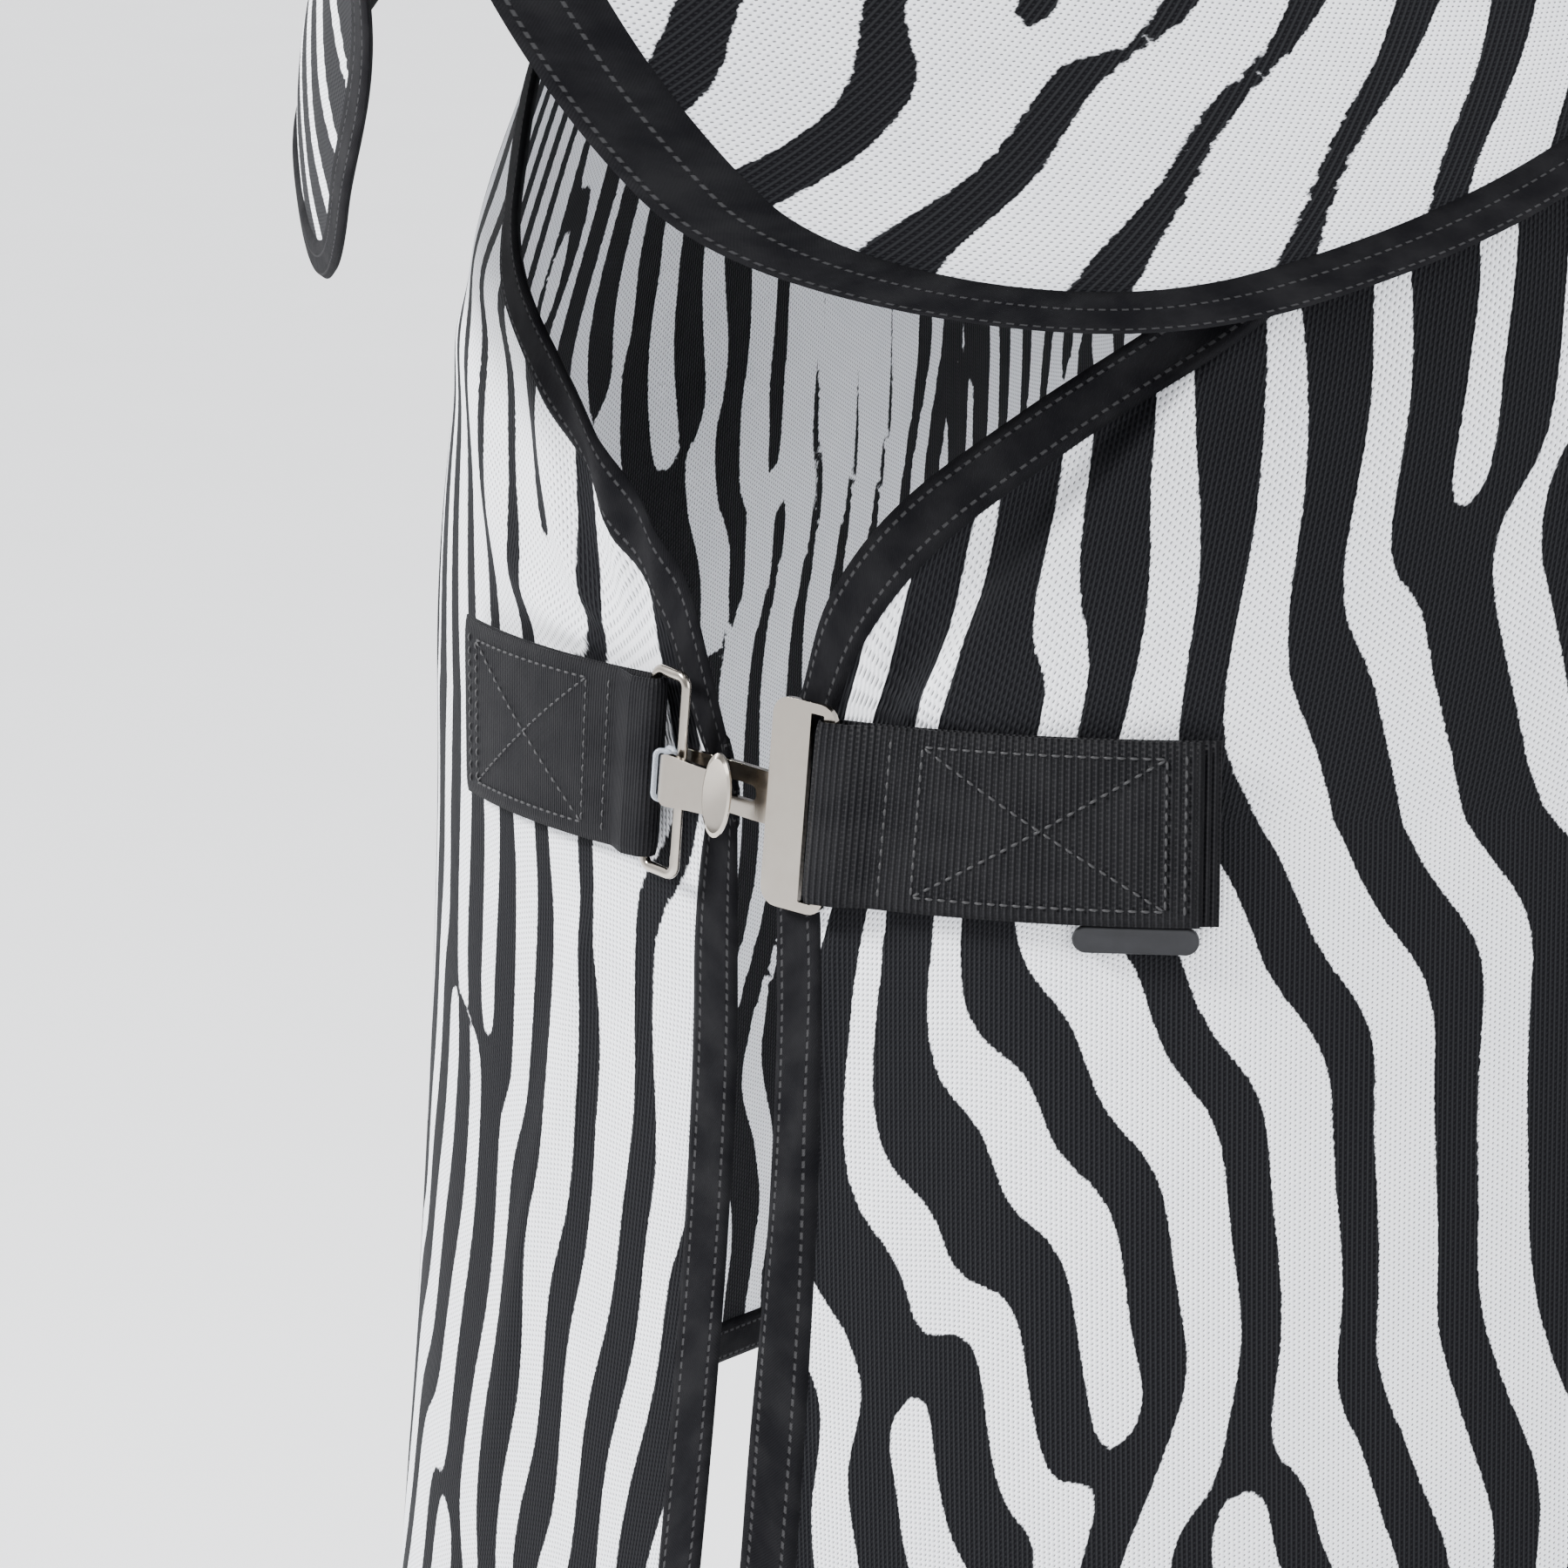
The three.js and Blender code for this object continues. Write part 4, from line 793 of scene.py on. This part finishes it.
def spine_tape():
    t = stations([(FRONT_LENGTH + 4, BODY_LENGTH, 8.0)])
    s = np.linspace(-TAPE / 2, TAPE / 2, 11)
    tt, ss = np.meshgrid(t, s, indexing="ij")
    p, n = body_cloth(1, tt, np.abs(ss), lift=BINDING_THICK / 2 + 1.2)
    obj = cloth_band("spine_cover", both_sides(p, n, ss), TAPE, TWILL, half=TAPE_HALF_THICK)
    settle(obj, "sheet", "binding", "spine_tape")


for side_name, side_sign in SIDES:
    body_panel(side_name, side_sign)
    body_bindings(side_name, side_sign)
spine_tape()


# ---- neck cover ----------------------------------------------------------------------------------
GIRTHS = np.array([neck_girth(x) for x in np.linspace(0, 1, 15)])
RISES = np.array([neck_rise(x) for x in np.linspace(0, 1, 15)])
NECK_CORNERS = {1: 76.0, -1: 56.0}
NECK_PRINT_SIZE = (640, 600)
NECK_PRINT_START = {1: (400, 130), -1: (1500, 130)}
NECK_FLAT = (0.84, 0.81)


def neck_share(a, b):
    """Shares (q, v) from distances in millimetres from the throat edge and from the hem."""
    knots = np.linspace(0, 1, 15)
    v = b / np.interp(a / GIRTHS[0], knots, RISES)
    return np.minimum(a / np.interp(v, knots, GIRTHS), 0.9995), v


def neck_panel(name, side):
    inset, corner = NECK_BINDING * 0.9, NECK_CORNERS[side]
    top = 1 - NECK_BINDING / neck_rise(0.5) * 0.9
    b = stations([(inset, corner, 3.0), (corner, top * RISES[0], 5.0)])
    a = stations([(inset, corner, 3.0), (corner, GIRTHS[0] * 0.9995, 5.0)])
    bb, aa = np.meshgrid(b, a, indexing="ij")
    # The cloth's loose corner is drawn in to the round of its binding.
    radius = corner - inset
    near_a, near_b = np.clip((aa - inset) / radius, 0, 1), np.clip((bb - inset) / radius, 0, 1)
    drawn = 0.28 * radius * (1 - near_a) ** 2 * (1 - near_b) ** 2
    near_q, near_v = neck_share(aa + drawn, bb + drawn)
    # Past the corner the rows and columns spread evenly to the crest and to the poll.
    knots = np.linspace(0, 1, 15)
    reach = np.clip((aa - corner) / (a[-1] - corner), 0, 1)
    upper = np.clip((bb - corner) / (b[-1] - corner), 0, 1)
    far_q = lerp(corner / np.interp(near_v, knots, GIRTHS), 0.9995, reach)
    far_v = lerp(corner / np.interp(0.9995 * aa / a[-1], knots, RISES), top, upper)
    q = np.where(aa > corner, far_q, near_q)
    v = np.where(bb > corner, far_v, near_v)
    p, _ = neck_cloth(side, q, v)
    start_u, start_v = NECK_PRINT_START[side]
    round_by, up_by = q * NECK_PRINT_SIZE[0] * math.sqrt(0.5), v * NECK_PRINT_SIZE[1] * math.sqrt(0.5)
    uv = np.stack([round_by - up_by + start_u, round_by + up_by + start_v], axis=-1)
    obj = sheet_piece(f"neck_cloth_{name}", p, uv, ZEBRA, side < 0, bolder=0.3)
    settle(obj, "neck_cover", "zebra_mesh", f"neck_panel_{name}")
    min(cloth_area(p), NECK_FLAT[0] * NECK_FLAT[1])


def cover_edge(name, side):
    """One binding down the throat, round the loose corner and along the hem to the crest."""
    steps, round_by = np.linspace(0, 1, 60), NECK_CORNERS[side]
    tall, wide = neck_rise(0.0), neck_girth(0.0)
    down = np.stack([0 * steps, lerp(tall, round_by, steps)], axis=1)
    turn = np.radians(np.linspace(180, 270, 40))[1:-1]
    corner = round_by * (1 + np.stack([np.cos(turn), np.sin(turn)], axis=1))
    along = np.stack([np.linspace(round_by, wide * 0.9995, 200), np.zeros(200)], axis=1)
    path = Line(np.vstack([down, corner, along]))
    run = np.linspace(0, path.length, 420)
    ahead, behind = path.at(np.minimum(run + 2, path.length)), path.at(np.maximum(run - 2, 0))
    forward = unit(ahead - behind)
    inward = np.stack([-forward[:, 1], forward[:, 0]], axis=1)
    across = np.linspace(0, NECK_BINDING, 9)
    ab = path.at(run)[:, None, :] + inward[:, None, :] * across[None, :, None]
    q, v = neck_share(ab[..., 0], ab[..., 1])
    obj = cloth_band(f"cover_edge_{name}", neck_cloth(side, q, v), NECK_BINDING, TWILL)
    settle(obj, "neck_cover", "binding", f"throat_binding_{name}", f"neck_hem_binding_{name}")


def poll_edge(name, side):
    q = np.linspace(0.02, 0.9995, 200)[:, None]
    v = lerp(1, 1 - NECK_BINDING / neck_rise(0.5), np.linspace(0, 1, 9))[None, :]
    obj = cloth_band(f"poll_edge_{name}", neck_cloth(side, q, v), NECK_BINDING, TWILL)
    settle(obj, "neck_cover", "binding", f"poll_binding_{name}")


def crest_tape():
    share = TAPE / 2 / (math.pi * POLL_HALF)
    v = np.linspace(0, 1, 120)
    s = np.linspace(-share, share, 11)
    vv, ss = np.meshgrid(v, s, indexing="ij")
    p, n = neck_cloth(1, 1 - np.maximum(np.abs(ss), 0.0005), vv, lift=BINDING_THICK / 2 + 2.2)
    obj = cloth_band("crest_cover", both_sides(p, n, ss), TAPE, TWILL, half=TAPE_HALF_THICK)
    settle(obj, "neck_cover", "binding", "crest_tape")


for side_name, side_sign in SIDES:
    neck_panel(side_name, side_sign)
    cover_edge(side_name, side_sign)
    poll_edge(side_name, side_sign)
crest_tape()


# ---- straps ---------------------------------------------------------------------------------------
def chest_place(side, loop_a, s, f, z):
    """The CAD's place on the chest: s along it, f off the cloth, z up the strap."""
    sheer = math.tan(CLOSURE_TILT) * z * (1 - smooth(38, 100, s))
    at = np.maximum(0, s + side * sheer - FRONT_GAP)
    base, out = plan.at(at), plan_normal(at)
    shift = -side * math.sin(CLOSURE_TILT) * loop_a
    p = base + out * np.asarray(f)[..., None]
    p[..., 2] = CLOSURE_Z + shift + z
    return p * [side, 1, 1]


def strap_path(hole_at, hole, end):
    """The strap's middle line as (s, f): out along the cloth, round the bar and back on top."""
    length, height = hole
    lift, radius = STRAP_LIFT, (height + WEB_THICK) / 2
    middle = lift + WEB_THICK + height / 2
    nose = hole_at - length / 2 + height / 2
    turn = np.radians(np.linspace(270, 90, 14))
    rising = np.array([[end, lift + WEB_THICK / 2], [hole_at + length / 2 + 12, lift + WEB_THICK / 2]])
    loop = np.stack([nose + radius * np.cos(turn), middle + radius * np.sin(turn)], axis=1)
    back = np.array([[hole_at + length / 2 + 3, middle + radius * 0.98],
                     [hole_at + length / 2 + 11, lift + WEB_THICK * 1.5 + 0.35],
                     [end - 5, lift + WEB_THICK * 1.5 + 0.15]])
    return np.vstack([rising, loop, back])


def strap(name, path, width, place, material):
    """Webbing along a path in (s, f), put in place by a function of (s, f, z)."""
    line = Line(np.column_stack([path, 0 * path[:, 0]]))
    run = np.linspace(0, line.length, int(line.length / 1.6))
    centre = line.at(run)[:, :2]
    ahead = line.at(np.minimum(run + 0.8, line.length))[:, :2]
    behind = line.at(np.maximum(run - 0.8, 0))[:, :2]
    along = unit(ahead - behind)
    normal = np.stack([-along[:, 1], along[:, 0]], axis=1)
    z = np.linspace(-width / 2, width / 2, 25)
    half = 0.92 * WEB_THICK / 2
    layers = []
    for sign in (1, -1):
        k = np.linspace(-1, 1, len(z))
        edge = np.maximum((1 - np.abs(k) ** 10) ** 0.5, 0.25)
        s = centre[:, 0][:, None] + sign * half * normal[:, 0][:, None] * edge
        f = centre[:, 1][:, None] + sign * half * normal[:, 1][:, None] * edge
        layers.append(place(s, f, z + 0 * s))
    uv = np.stack(np.broadcast_arrays(run[:, None], (z + width / 2)[None, :]), axis=-1)
    return closed_band(name, layers[0], layers[1], uv, material)


def chest_spot(s, f):
    base, out = plan.at(s - FRONT_GAP), plan_normal(np.asarray(s - FRONT_GAP))
    return base[0] + out[0] * f, CHEST_Y - base[1] - out[1] * f


def along_for(a, hole):
    return 2 * a - chest_spot(a, STRAP_LIFT + WEB_THICK + hole[1] / 2)[0]


LOOP_HOLE, RING_HOLE = (5.6, 3.6), (4.6, 4.6)
BAR_A, RING_BAR_A, RING_WIDE, RING_WIRE = 25.5, -19.9, 16.0, 3.2
BAR_S = along_for(BAR_A, LOOP_HOLE)
BAR_F = chest_spot(BAR_S, STRAP_LIFT + WEB_THICK + LOOP_HOLE[1] / 2)[1]
RING_S = along_for(RING_WIDE - RING_WIRE - RING_BAR_A, RING_HOLE)
RING_F = chest_spot(RING_S, STRAP_LIFT + WEB_THICK + RING_HOLE[1] / 2)[1]
BACK_LEG_F, BEND = BAR_F - 1.6, 4.5
RING_LEAN = math.asin((BACK_LEG_F + BEND - RING_F) / (RING_WIDE - RING_WIRE))
RING_A = RING_BAR_A - (RING_WIDE - RING_WIRE) * math.cos(RING_LEAN)


def box_cross(place, lift, low, high, tall):
    """The sewn box and cross on a strap, as lines for stitches()."""
    corners = [(low, -tall), (high, -tall), (high, tall), (low, tall), (low, -tall)]
    runs = list(zip(corners, corners[1:]))
    runs += [((low, -tall), (high, tall)), ((low, tall), (high, -tall))]
    lines = []
    for (s0, z0), (s1, z1) in runs:
        k = np.linspace(0, 1, 30)
        s, z = lerp(s0, s1, k), lerp(z0, z1, k)
        p = place(s, lift + 0 * s, z)
        above = place(s, lift + 1 + 0 * s, z)
        lines.append((p, above - p))
    return lines


def chest_straps():
    for name, side, loop_a, hole_at, hole, material in (
        ("left", 1, BAR_A, BAR_S, LOOP_HOLE, HEAVY_WEB),
        ("right", -1, -RING_A, RING_S, RING_HOLE, FINE_WEB),
    ):
        def place(s, f, z, side=side, loop_a=loop_a):
            return chest_place(side, loop_a, s, f, z)
        path = strap_path(hole_at, hole, CHEST_STRAP_END)
        obj = strap(f"closure_strap_{name}", path, WEBBING, place, material)
        settle(obj, "sheet", "webbing", f"chest_strap_{name}")
        lift = STRAP_LIFT + 2 * WEB_THICK + 0.05
        start = hole_at + 26
        lines = box_cross(place, lift, start, CHEST_STRAP_END - 14, WEBBING / 2 - 4.5)
        bars = [(hole_at + 17, hole_at + 17), (CHEST_STRAP_END - 9, CHEST_STRAP_END - 9)]
        for s0, s1 in bars:
            z = np.linspace(-WEBBING / 2 + 3, WEBBING / 2 - 3, 20)
            p = place(lerp(s0, s1, z * 0), lift + 0 * z, z)
            lines.append((p, place(lerp(s0, s1, z * 0), lift + 1 + 0 * z, z) - p))
        settle(stitches(f"closure_stitching_{name}", lines, THREAD), "sheet", "webbing")


def label():
    """The dark rubber label, a soft pill with no text."""
    long, tall, thick = 33.0, 7.4, 2.2
    rings = []
    for share, depth in ((1.0, 0.0), (1.0, 0.55), (0.96, 0.85), (0.86, 1.0), (0.8, 0.93), (0.4, 0.95)):
        pill = []
        for i in range(48):
            angle = 2 * math.pi * i / 48
            radius = tall / 2 * share
            x = math.copysign(long / 2 - tall / 2, math.cos(angle)) + radius * math.cos(angle)
            pill.append((x, radius * math.sin(angle), depth * thick))
        rings.append(pill)
    flat = np.array(rings)
    s = flat[..., 0] + CHEST_STRAP_END - long / 2 - 5
    z = flat[..., 1] - WEBBING / 2 - 0.35 - tall / 2
    p = chest_place(1, BAR_A, s, STRAP_LIFT + flat[..., 2], z)
    rows, cols = p.shape[:2]
    faces = grid_faces(rows, cols, close=True)
    faces.append(list(range(cols)))
    faces.append([(rows - 1) * cols + i for i in reversed(range(cols))])
    obj = new_piece("rubber_label", p.reshape(-1, 3), faces, RUBBER)
    face_outward(obj)
    settle(obj, "sheet", "rubber", "label_tab")


chest_straps()
label()


# ---- metal and small soft pieces, refined from the CAD solids -----------------------------------------
def rounded_copy(node, body, slot_name, material, width, segments=3, angle=28):
    """A copy of a CAD solid with rounded edges and smooth faces."""
    mesh = frame["nodes"][node].data.copy()
    obj = bpy.data.objects.new(f"fine_{node}", mesh)
    scene.collection.objects.link(obj)
    mesh.materials.clear()
    mesh.materials.append(material)
    bpy.context.view_layer.objects.active = obj
    weld = obj.modifiers.new("weld", "WELD")
    weld.merge_threshold = 0.00002
    if width:
        bevel = obj.modifiers.new("edges", "BEVEL")
        bevel.width = width * MM
        bevel.segments = segments
        bevel.limit_method = "ANGLE"
        bevel.angle_limit = math.radians(angle)
        bevel.use_clamp_overlap = True
    mesh.polygons.foreach_set("use_smooth", [True] * len(mesh.polygons))
    normals = obj.modifiers.new("normals", "WEIGHTED_NORMAL")
    normals.keep_sharp = False
    settle(obj, body, slot_name, node)
    return obj


for metal in ("chest_hook", "belly_hook_front", "belly_hook_rear"):
    rounded_copy(metal, metal, "nickel", NICKEL, 0.45)


def wire_ring(name, node, body, centre, e1, e2, wide, tall, wire, radius, flatness=0.8):
    """A round-cornered ring of half-round wire."""
    e1, e2 = np.asarray(e1, float), np.asarray(e2, float)
    e3 = np.cross(e1, e2)
    sides = 20
    path = []
    for sx, sy, start in ((1, 1, 0), (-1, 1, 90), (-1, -1, 180), (1, -1, 270)):
        for i in range(11):
            a = math.radians(start + 9 * i)
            path.append((sx * ((wide - wire) / 2 - radius) + radius * math.cos(a),
                         sy * ((tall - wire) / 2 - radius) + radius * math.sin(a)))
    path = np.array(path)
    ahead, behind = np.roll(path, -1, axis=0), np.roll(path, 1, axis=0)
    along = unit(ahead - behind)
    side = np.stack([along[:, 1], -along[:, 0]], axis=1)
    around = np.linspace(0, 2 * math.pi, sides, endpoint=False)
    away = wire / 2 * np.cos(around)
    up = wire / 2 * flatness * np.sin(around)
    x = path[:, 0][:, None] + side[:, 0][:, None] * away
    y = path[:, 1][:, None] + side[:, 1][:, None] * away
    p = np.asarray(centre) + x[..., None] * e1 + y[..., None] * e2 + (up + 0 * x)[..., None] * e3
    closed = np.concatenate([p, p[:1]], axis=0)
    faces = grid_faces(*closed.shape[:2], close=True)
    faces = [[v % (len(p) * sides) for v in face] for face in faces]
    obj = new_piece(name, p.reshape(-1, 3), faces, NICKEL)
    face_outward(obj)
    return settle(obj, body, "nickel", node)


def closure_world(a, u, f):
    """From the closure's own frame, tilted, to the row frame."""
    c, s = math.cos(CLOSURE_TILT), math.sin(CLOSURE_TILT)
    return np.array([a * c + u * s, CHEST_Y - f, CLOSURE_Z - a * s + u * c])


def rings():
    lean = (math.cos(RING_LEAN), math.sin(RING_LEAN))
    middle_a, middle_f = (RING_BAR_A + RING_A) / 2, (RING_F + BACK_LEG_F + BEND) / 2
    zero = closure_world(0, 0, 0)
    wire_ring("fastening_ring", "chest_ring", "chest_ring", closure_world(middle_a, 0, middle_f),
              closure_world(lean[0], 0, lean[1]) - zero, closure_world(0, 1, 0) - zero,
              RING_WIDE, 58.4, RING_WIRE, 2.9)
    for where in ("front", "rear"):
        low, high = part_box(f"belly_ring_{where}")
        centre = (np.array(low) + np.array(high)) / 2 / MM
        wire_ring(f"fastening_ring_{where}", f"belly_ring_{where}", f"belly_ring_{where}", centre,
                  (lean[1], 0, -lean[0]), (0, 1, 0), RING_WIDE, BELLY_WEB + 8.8, RING_WIRE, 2.9)
    for where in ("left", "right"):
        low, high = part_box(f"withers_ring_{where}")
        centre = (np.array(low) + np.array(high)) / 2 / MM
        wire_ring(f"carrying_ring_{where}", f"withers_ring_{where}", "sheet", centre,
                  (1, 0, 0), (0, 1, 0), 33, 20, 3, 2, 1)


rings()
for washer in ("washer_inner", "washer_outer"):
    rounded_copy(washer, "chest_hook", "silicone", SILICONE, 0)


def laid_uv(obj, along, across):
    """Gives a copied solid cloth coordinates from two of its own axes, in metres."""
    mesh = obj.data
    layer = mesh.uv_layers.get("cloth") or mesh.uv_layers.new(name="cloth")
    co = np.zeros(len(mesh.vertices) * 3)
    mesh.vertices.foreach_get("co", co)
    co = co.reshape(-1, 3)
    loops = np.zeros(len(mesh.loops), int)
    mesh.loops.foreach_get("vertex_index", loops)
    uv = np.stack([co @ np.asarray(along, float), co @ np.asarray(across, float)], axis=1)
    layer.data.foreach_set("uv", uv[loops].ravel())


for side_name, _ in SIDES:
    for node, body in ((f"withers_loop_{side_name}", "sheet"), (f"neck_strap_{side_name}", "neck_cover")):
        piece = rounded_copy(node, body, "webbing", FINE_WEB, 0.4, 2)
        laid_uv(piece, (0, 1, 0.3), (1, 0, 0))


# ---- throat closures ----------------------------------------------------------------------------
def throat_closures():
    girth = neck_girth(0.5)
    lift = BINDING_THICK / 2 + 1.05
    for name, height in THROAT_HEIGHTS.items():
        half = THROAT_TAB_WIDTH / 2 / neck_rise(0.05)
        v = np.linspace(height - half, height + half, 15)

        def across_throat(s, extra):
            q, vv = np.meshgrid(np.maximum(np.abs(s), THROAT_BRIDGE) / girth, v, indexing="ij")
            left, n_left = neck_cloth(1, q, vv, extra)
            right, n_right = neck_cloth(-1, q, vv, extra)
            k = np.clip(s / THROAT_BRIDGE, -1, 1)[:, None, None]
            p = lerp(right, left, (1 + k) / 2)
            p = p + np.array([0, -0.9, -0.43]) * THROAT_ARCH * (1 - k**2)
            return p, unit(lerp(n_right, n_left, (1 + k) / 2))

        for part, from_s, to_s, raise_by, thick, material, body, slot_name in (
            ("patch", -THROAT_TAB_REACH, -THROAT_BRIDGE - 6, lift + 0.9, 0.9, TWILL,
             "neck_cover", "binding"),
            ("tab", -THROAT_TAB_REACH, THROAT_TAB_REACH / 2, lift + 3.0, 0.85, FINE_WEB,
             f"throat_tab_{name}", "webbing"),
        ):
            s = np.linspace(from_s, to_s, 46 if part == "tab" else 16)
            p, n = across_throat(s, raise_by)
            along = along_band(p)
            width = np.linspace(0, THROAT_TAB_WIDTH, len(v))
            uv = np.stack(np.broadcast_arrays(along[:, None], width[None, :]), axis=-1)
            obj = band_piece(f"throat_{part}_{name}_cloth", p, n, uv, thick, material, power=10)
            settle(obj, body, slot_name, f"throat_{part}_{name}")


throat_closures()


# ---- belly straps and tail flap --------------------------------------------------------------------
for where in ("front", "rear"):
    piece = rounded_copy(f"belly_strap_{where}", "sheet", "webbing", FINE_WEB, 0.35, 2, 50)
    laid_uv(piece, (0.8, 0.3, 0.5), (0.3, 0.9, 0))
    piece = rounded_copy(f"belly_stub_{where}", "sheet", "webbing", FINE_WEB, 0.35, 2, 50)
    laid_uv(piece, (0, 0, 1), (0, 1, 0))


def rear_edge_z(x):
    d = np.linspace(0, float(column(np.array(BODY_LENGTH))["curved"]), 200)
    edge = body_point(BODY_LENGTH, d)
    return np.interp(np.abs(x), edge[:, 0], edge[:, 2])


def tail_point(a, b):
    x = a * TAIL_WIDTH / 2 * lerp(1, 0.86, b)
    top = rear_edge_z(a * TAIL_WIDTH / 2)
    low = rear_edge_z(0) - TAIL_LENGTH + 40 * a**4
    belly = 26 * np.sin(math.pi * np.clip(b * 0.8, 0, 1)) * np.cos(a * math.pi / 2.4)
    waves = 3.5 * np.sin(a * 7 + 0.6) * np.maximum(b, 0) ** 1.5 * (1 - np.abs(a) ** 6)
    return np.stack([x, REAR_Y + 1.9 + belly + 14 * b + waves, lerp(top, low, b)], axis=-1)


def tail_grid(a, b):
    along = tail_point(a + 0.01, b) - tail_point(a - 0.01, b)
    down = tail_point(a, b + 0.01) - tail_point(a, b - 0.01)
    return tail_point(a, b), -unit(np.cross(along, down))


def tail_flap():
    edge_a, edge_b = BINDING / (TAIL_WIDTH / 2), BINDING / TAIL_LENGTH
    a, b = np.meshgrid(np.linspace(-1 + edge_a * 0.9, 1 - edge_a * 0.9, 60),
                       np.linspace(0.003, 1 - edge_b * 0.9, 90), indexing="ij")
    p, _ = tail_grid(a, b)
    uv = np.stack([a * 145 + 400, b * 420 + 500], axis=-1)
    obj = sheet_piece("tail_cloth", p, uv, ZEBRA, turned=False)
    settle(obj, "tail_flap", "zebra_mesh", "tail_flap")
    min(cloth_area(p), TAIL_WIDTH * TAIL_LENGTH * MM * MM)
    down = np.linspace(0.003, 1 - edge_b, 80)
    turn = np.linspace(0, math.pi / 2, 9)[1:-1]
    k = np.linspace(0, 1, 9)
    rows = [(np.array([-1 + edge_a * k, x + 0 * k])) for x in down]
    rows += [np.array([-1 + edge_a * (1 - (1 - k) * math.cos(x)), 1 - edge_b * (1 - (1 - k) * math.sin(x))])
             for x in turn]
    rows += [np.array([x + 0 * k, 1 - edge_b * k]) for x in np.linspace(-1 + edge_a, 1 - edge_a, 60)]
    rows += [np.array([1 - edge_a * (1 - (1 - k) * math.sin(x)), 1 - edge_b * (1 - (1 - k) * math.cos(x))])
             for x in turn]
    rows += [np.array([1 - edge_a * k, x + 0 * k]) for x in down[::-1]]
    grid = np.array(rows)
    obj = cloth_band("tail_edge", tail_grid(grid[:, 0], grid[:, 1]), BINDING, TWILL, half=1.3)
    settle(obj, "tail_flap", "binding", "tail_flap_binding")


tail_flap()


# ---- floor, light and camera -----------------------------------------------------------------------
FLOOR_HALF, FLOOR_Z = 30000.0, -1500.0


def floor():
    m = Nodes("floor")
    pale = m.mix(m.noise(m.place(), 3, 2), (0.90, 0.90, 0.91, 1), (0.94, 0.94, 0.95, 1))
    material = m.finish(m.shader(Base_Color=pale, Roughness=0.7))
    corners = [(x, y, FLOOR_Z) for x, y in ((-FLOOR_HALF, -FLOOR_HALF), (FLOOR_HALF, -FLOOR_HALF),
                                            (FLOOR_HALF, FLOOR_HALF), (-FLOOR_HALF, FLOOR_HALF))]
    obj = new_piece("floor", corners, [[0, 1, 2, 3]], material)


def area_light(name, place, aim, size, power):
    data = bpy.data.lights.new(name, "AREA")
    data.shape = "DISK"
    data.size = size
    data.energy = power
    light = bpy.data.objects.new(name, data)
    scene.collection.objects.link(light)
    light.location = place
    light.rotation_euler = (Vector(aim) - Vector(place)).to_track_quat("-Z", "Y").to_euler()


def studio():
    world = bpy.data.worlds.new("studio")
    scene.world = world
    world.use_nodes = True
    background = world.node_tree.nodes["Background"]
    background.inputs["Color"].default_value = (0.97, 0.98, 1.0, 1)
    # The studio is dimmer on the camera's side, so that metal shows its edges.
    tree = world.node_tree
    direction = tree.nodes.new("ShaderNodeTexCoord")
    parts = tree.nodes.new("ShaderNodeSeparateXYZ")
    share = tree.nodes.new("ShaderNodeMapRange")
    tree.links.new(direction.outputs["Generated"], parts.inputs["Vector"])
    tree.links.new(parts.outputs["Y"], share.inputs["Value"])
    tree.links.new(share.outputs["Result"], background.inputs["Strength"])
    for socket, value in (("From Min", -0.9), ("From Max", 0.5), ("To Min", 0.5), ("To Max", 3.0)):
        share.inputs[socket].default_value = value
    area_light("key", (-1.9, -2.6, 1.6), (0, -0.4, -0.3), 1.0, 330)
    area_light("fill", (2.8, -1.8, 0.6), (0, -0.3, -0.3), 2.2, 70)
    area_light("rear", (1.6, 3.0, 2.2), (0, 0.4, -0.2), 2.0, 40)


def camera():
    azimuth, elevation, distance = math.radians(35), math.radians(13), 1.6
    back = Vector((math.sin(azimuth) * math.cos(elevation), -math.cos(azimuth) * math.cos(elevation),
                   math.sin(elevation)))
    across = Vector((math.cos(azimuth), math.sin(azimuth), 0))
    aim = Vector((0, CHEST_Y, CLOSURE_Z)) * MM + across * 0.0072 + Vector((0, 0, 0.0012))
    data = bpy.data.cameras.new("camera")
    data.lens = 137
    data.sensor_width = 36
    obj = bpy.data.objects.new("camera", data)
    scene.collection.objects.link(obj)
    obj.location = aim + back * distance
    obj.rotation_euler = (-back).to_track_quat("-Z", "Y").to_euler()
    scene.camera = obj


floor()
studio()
camera()
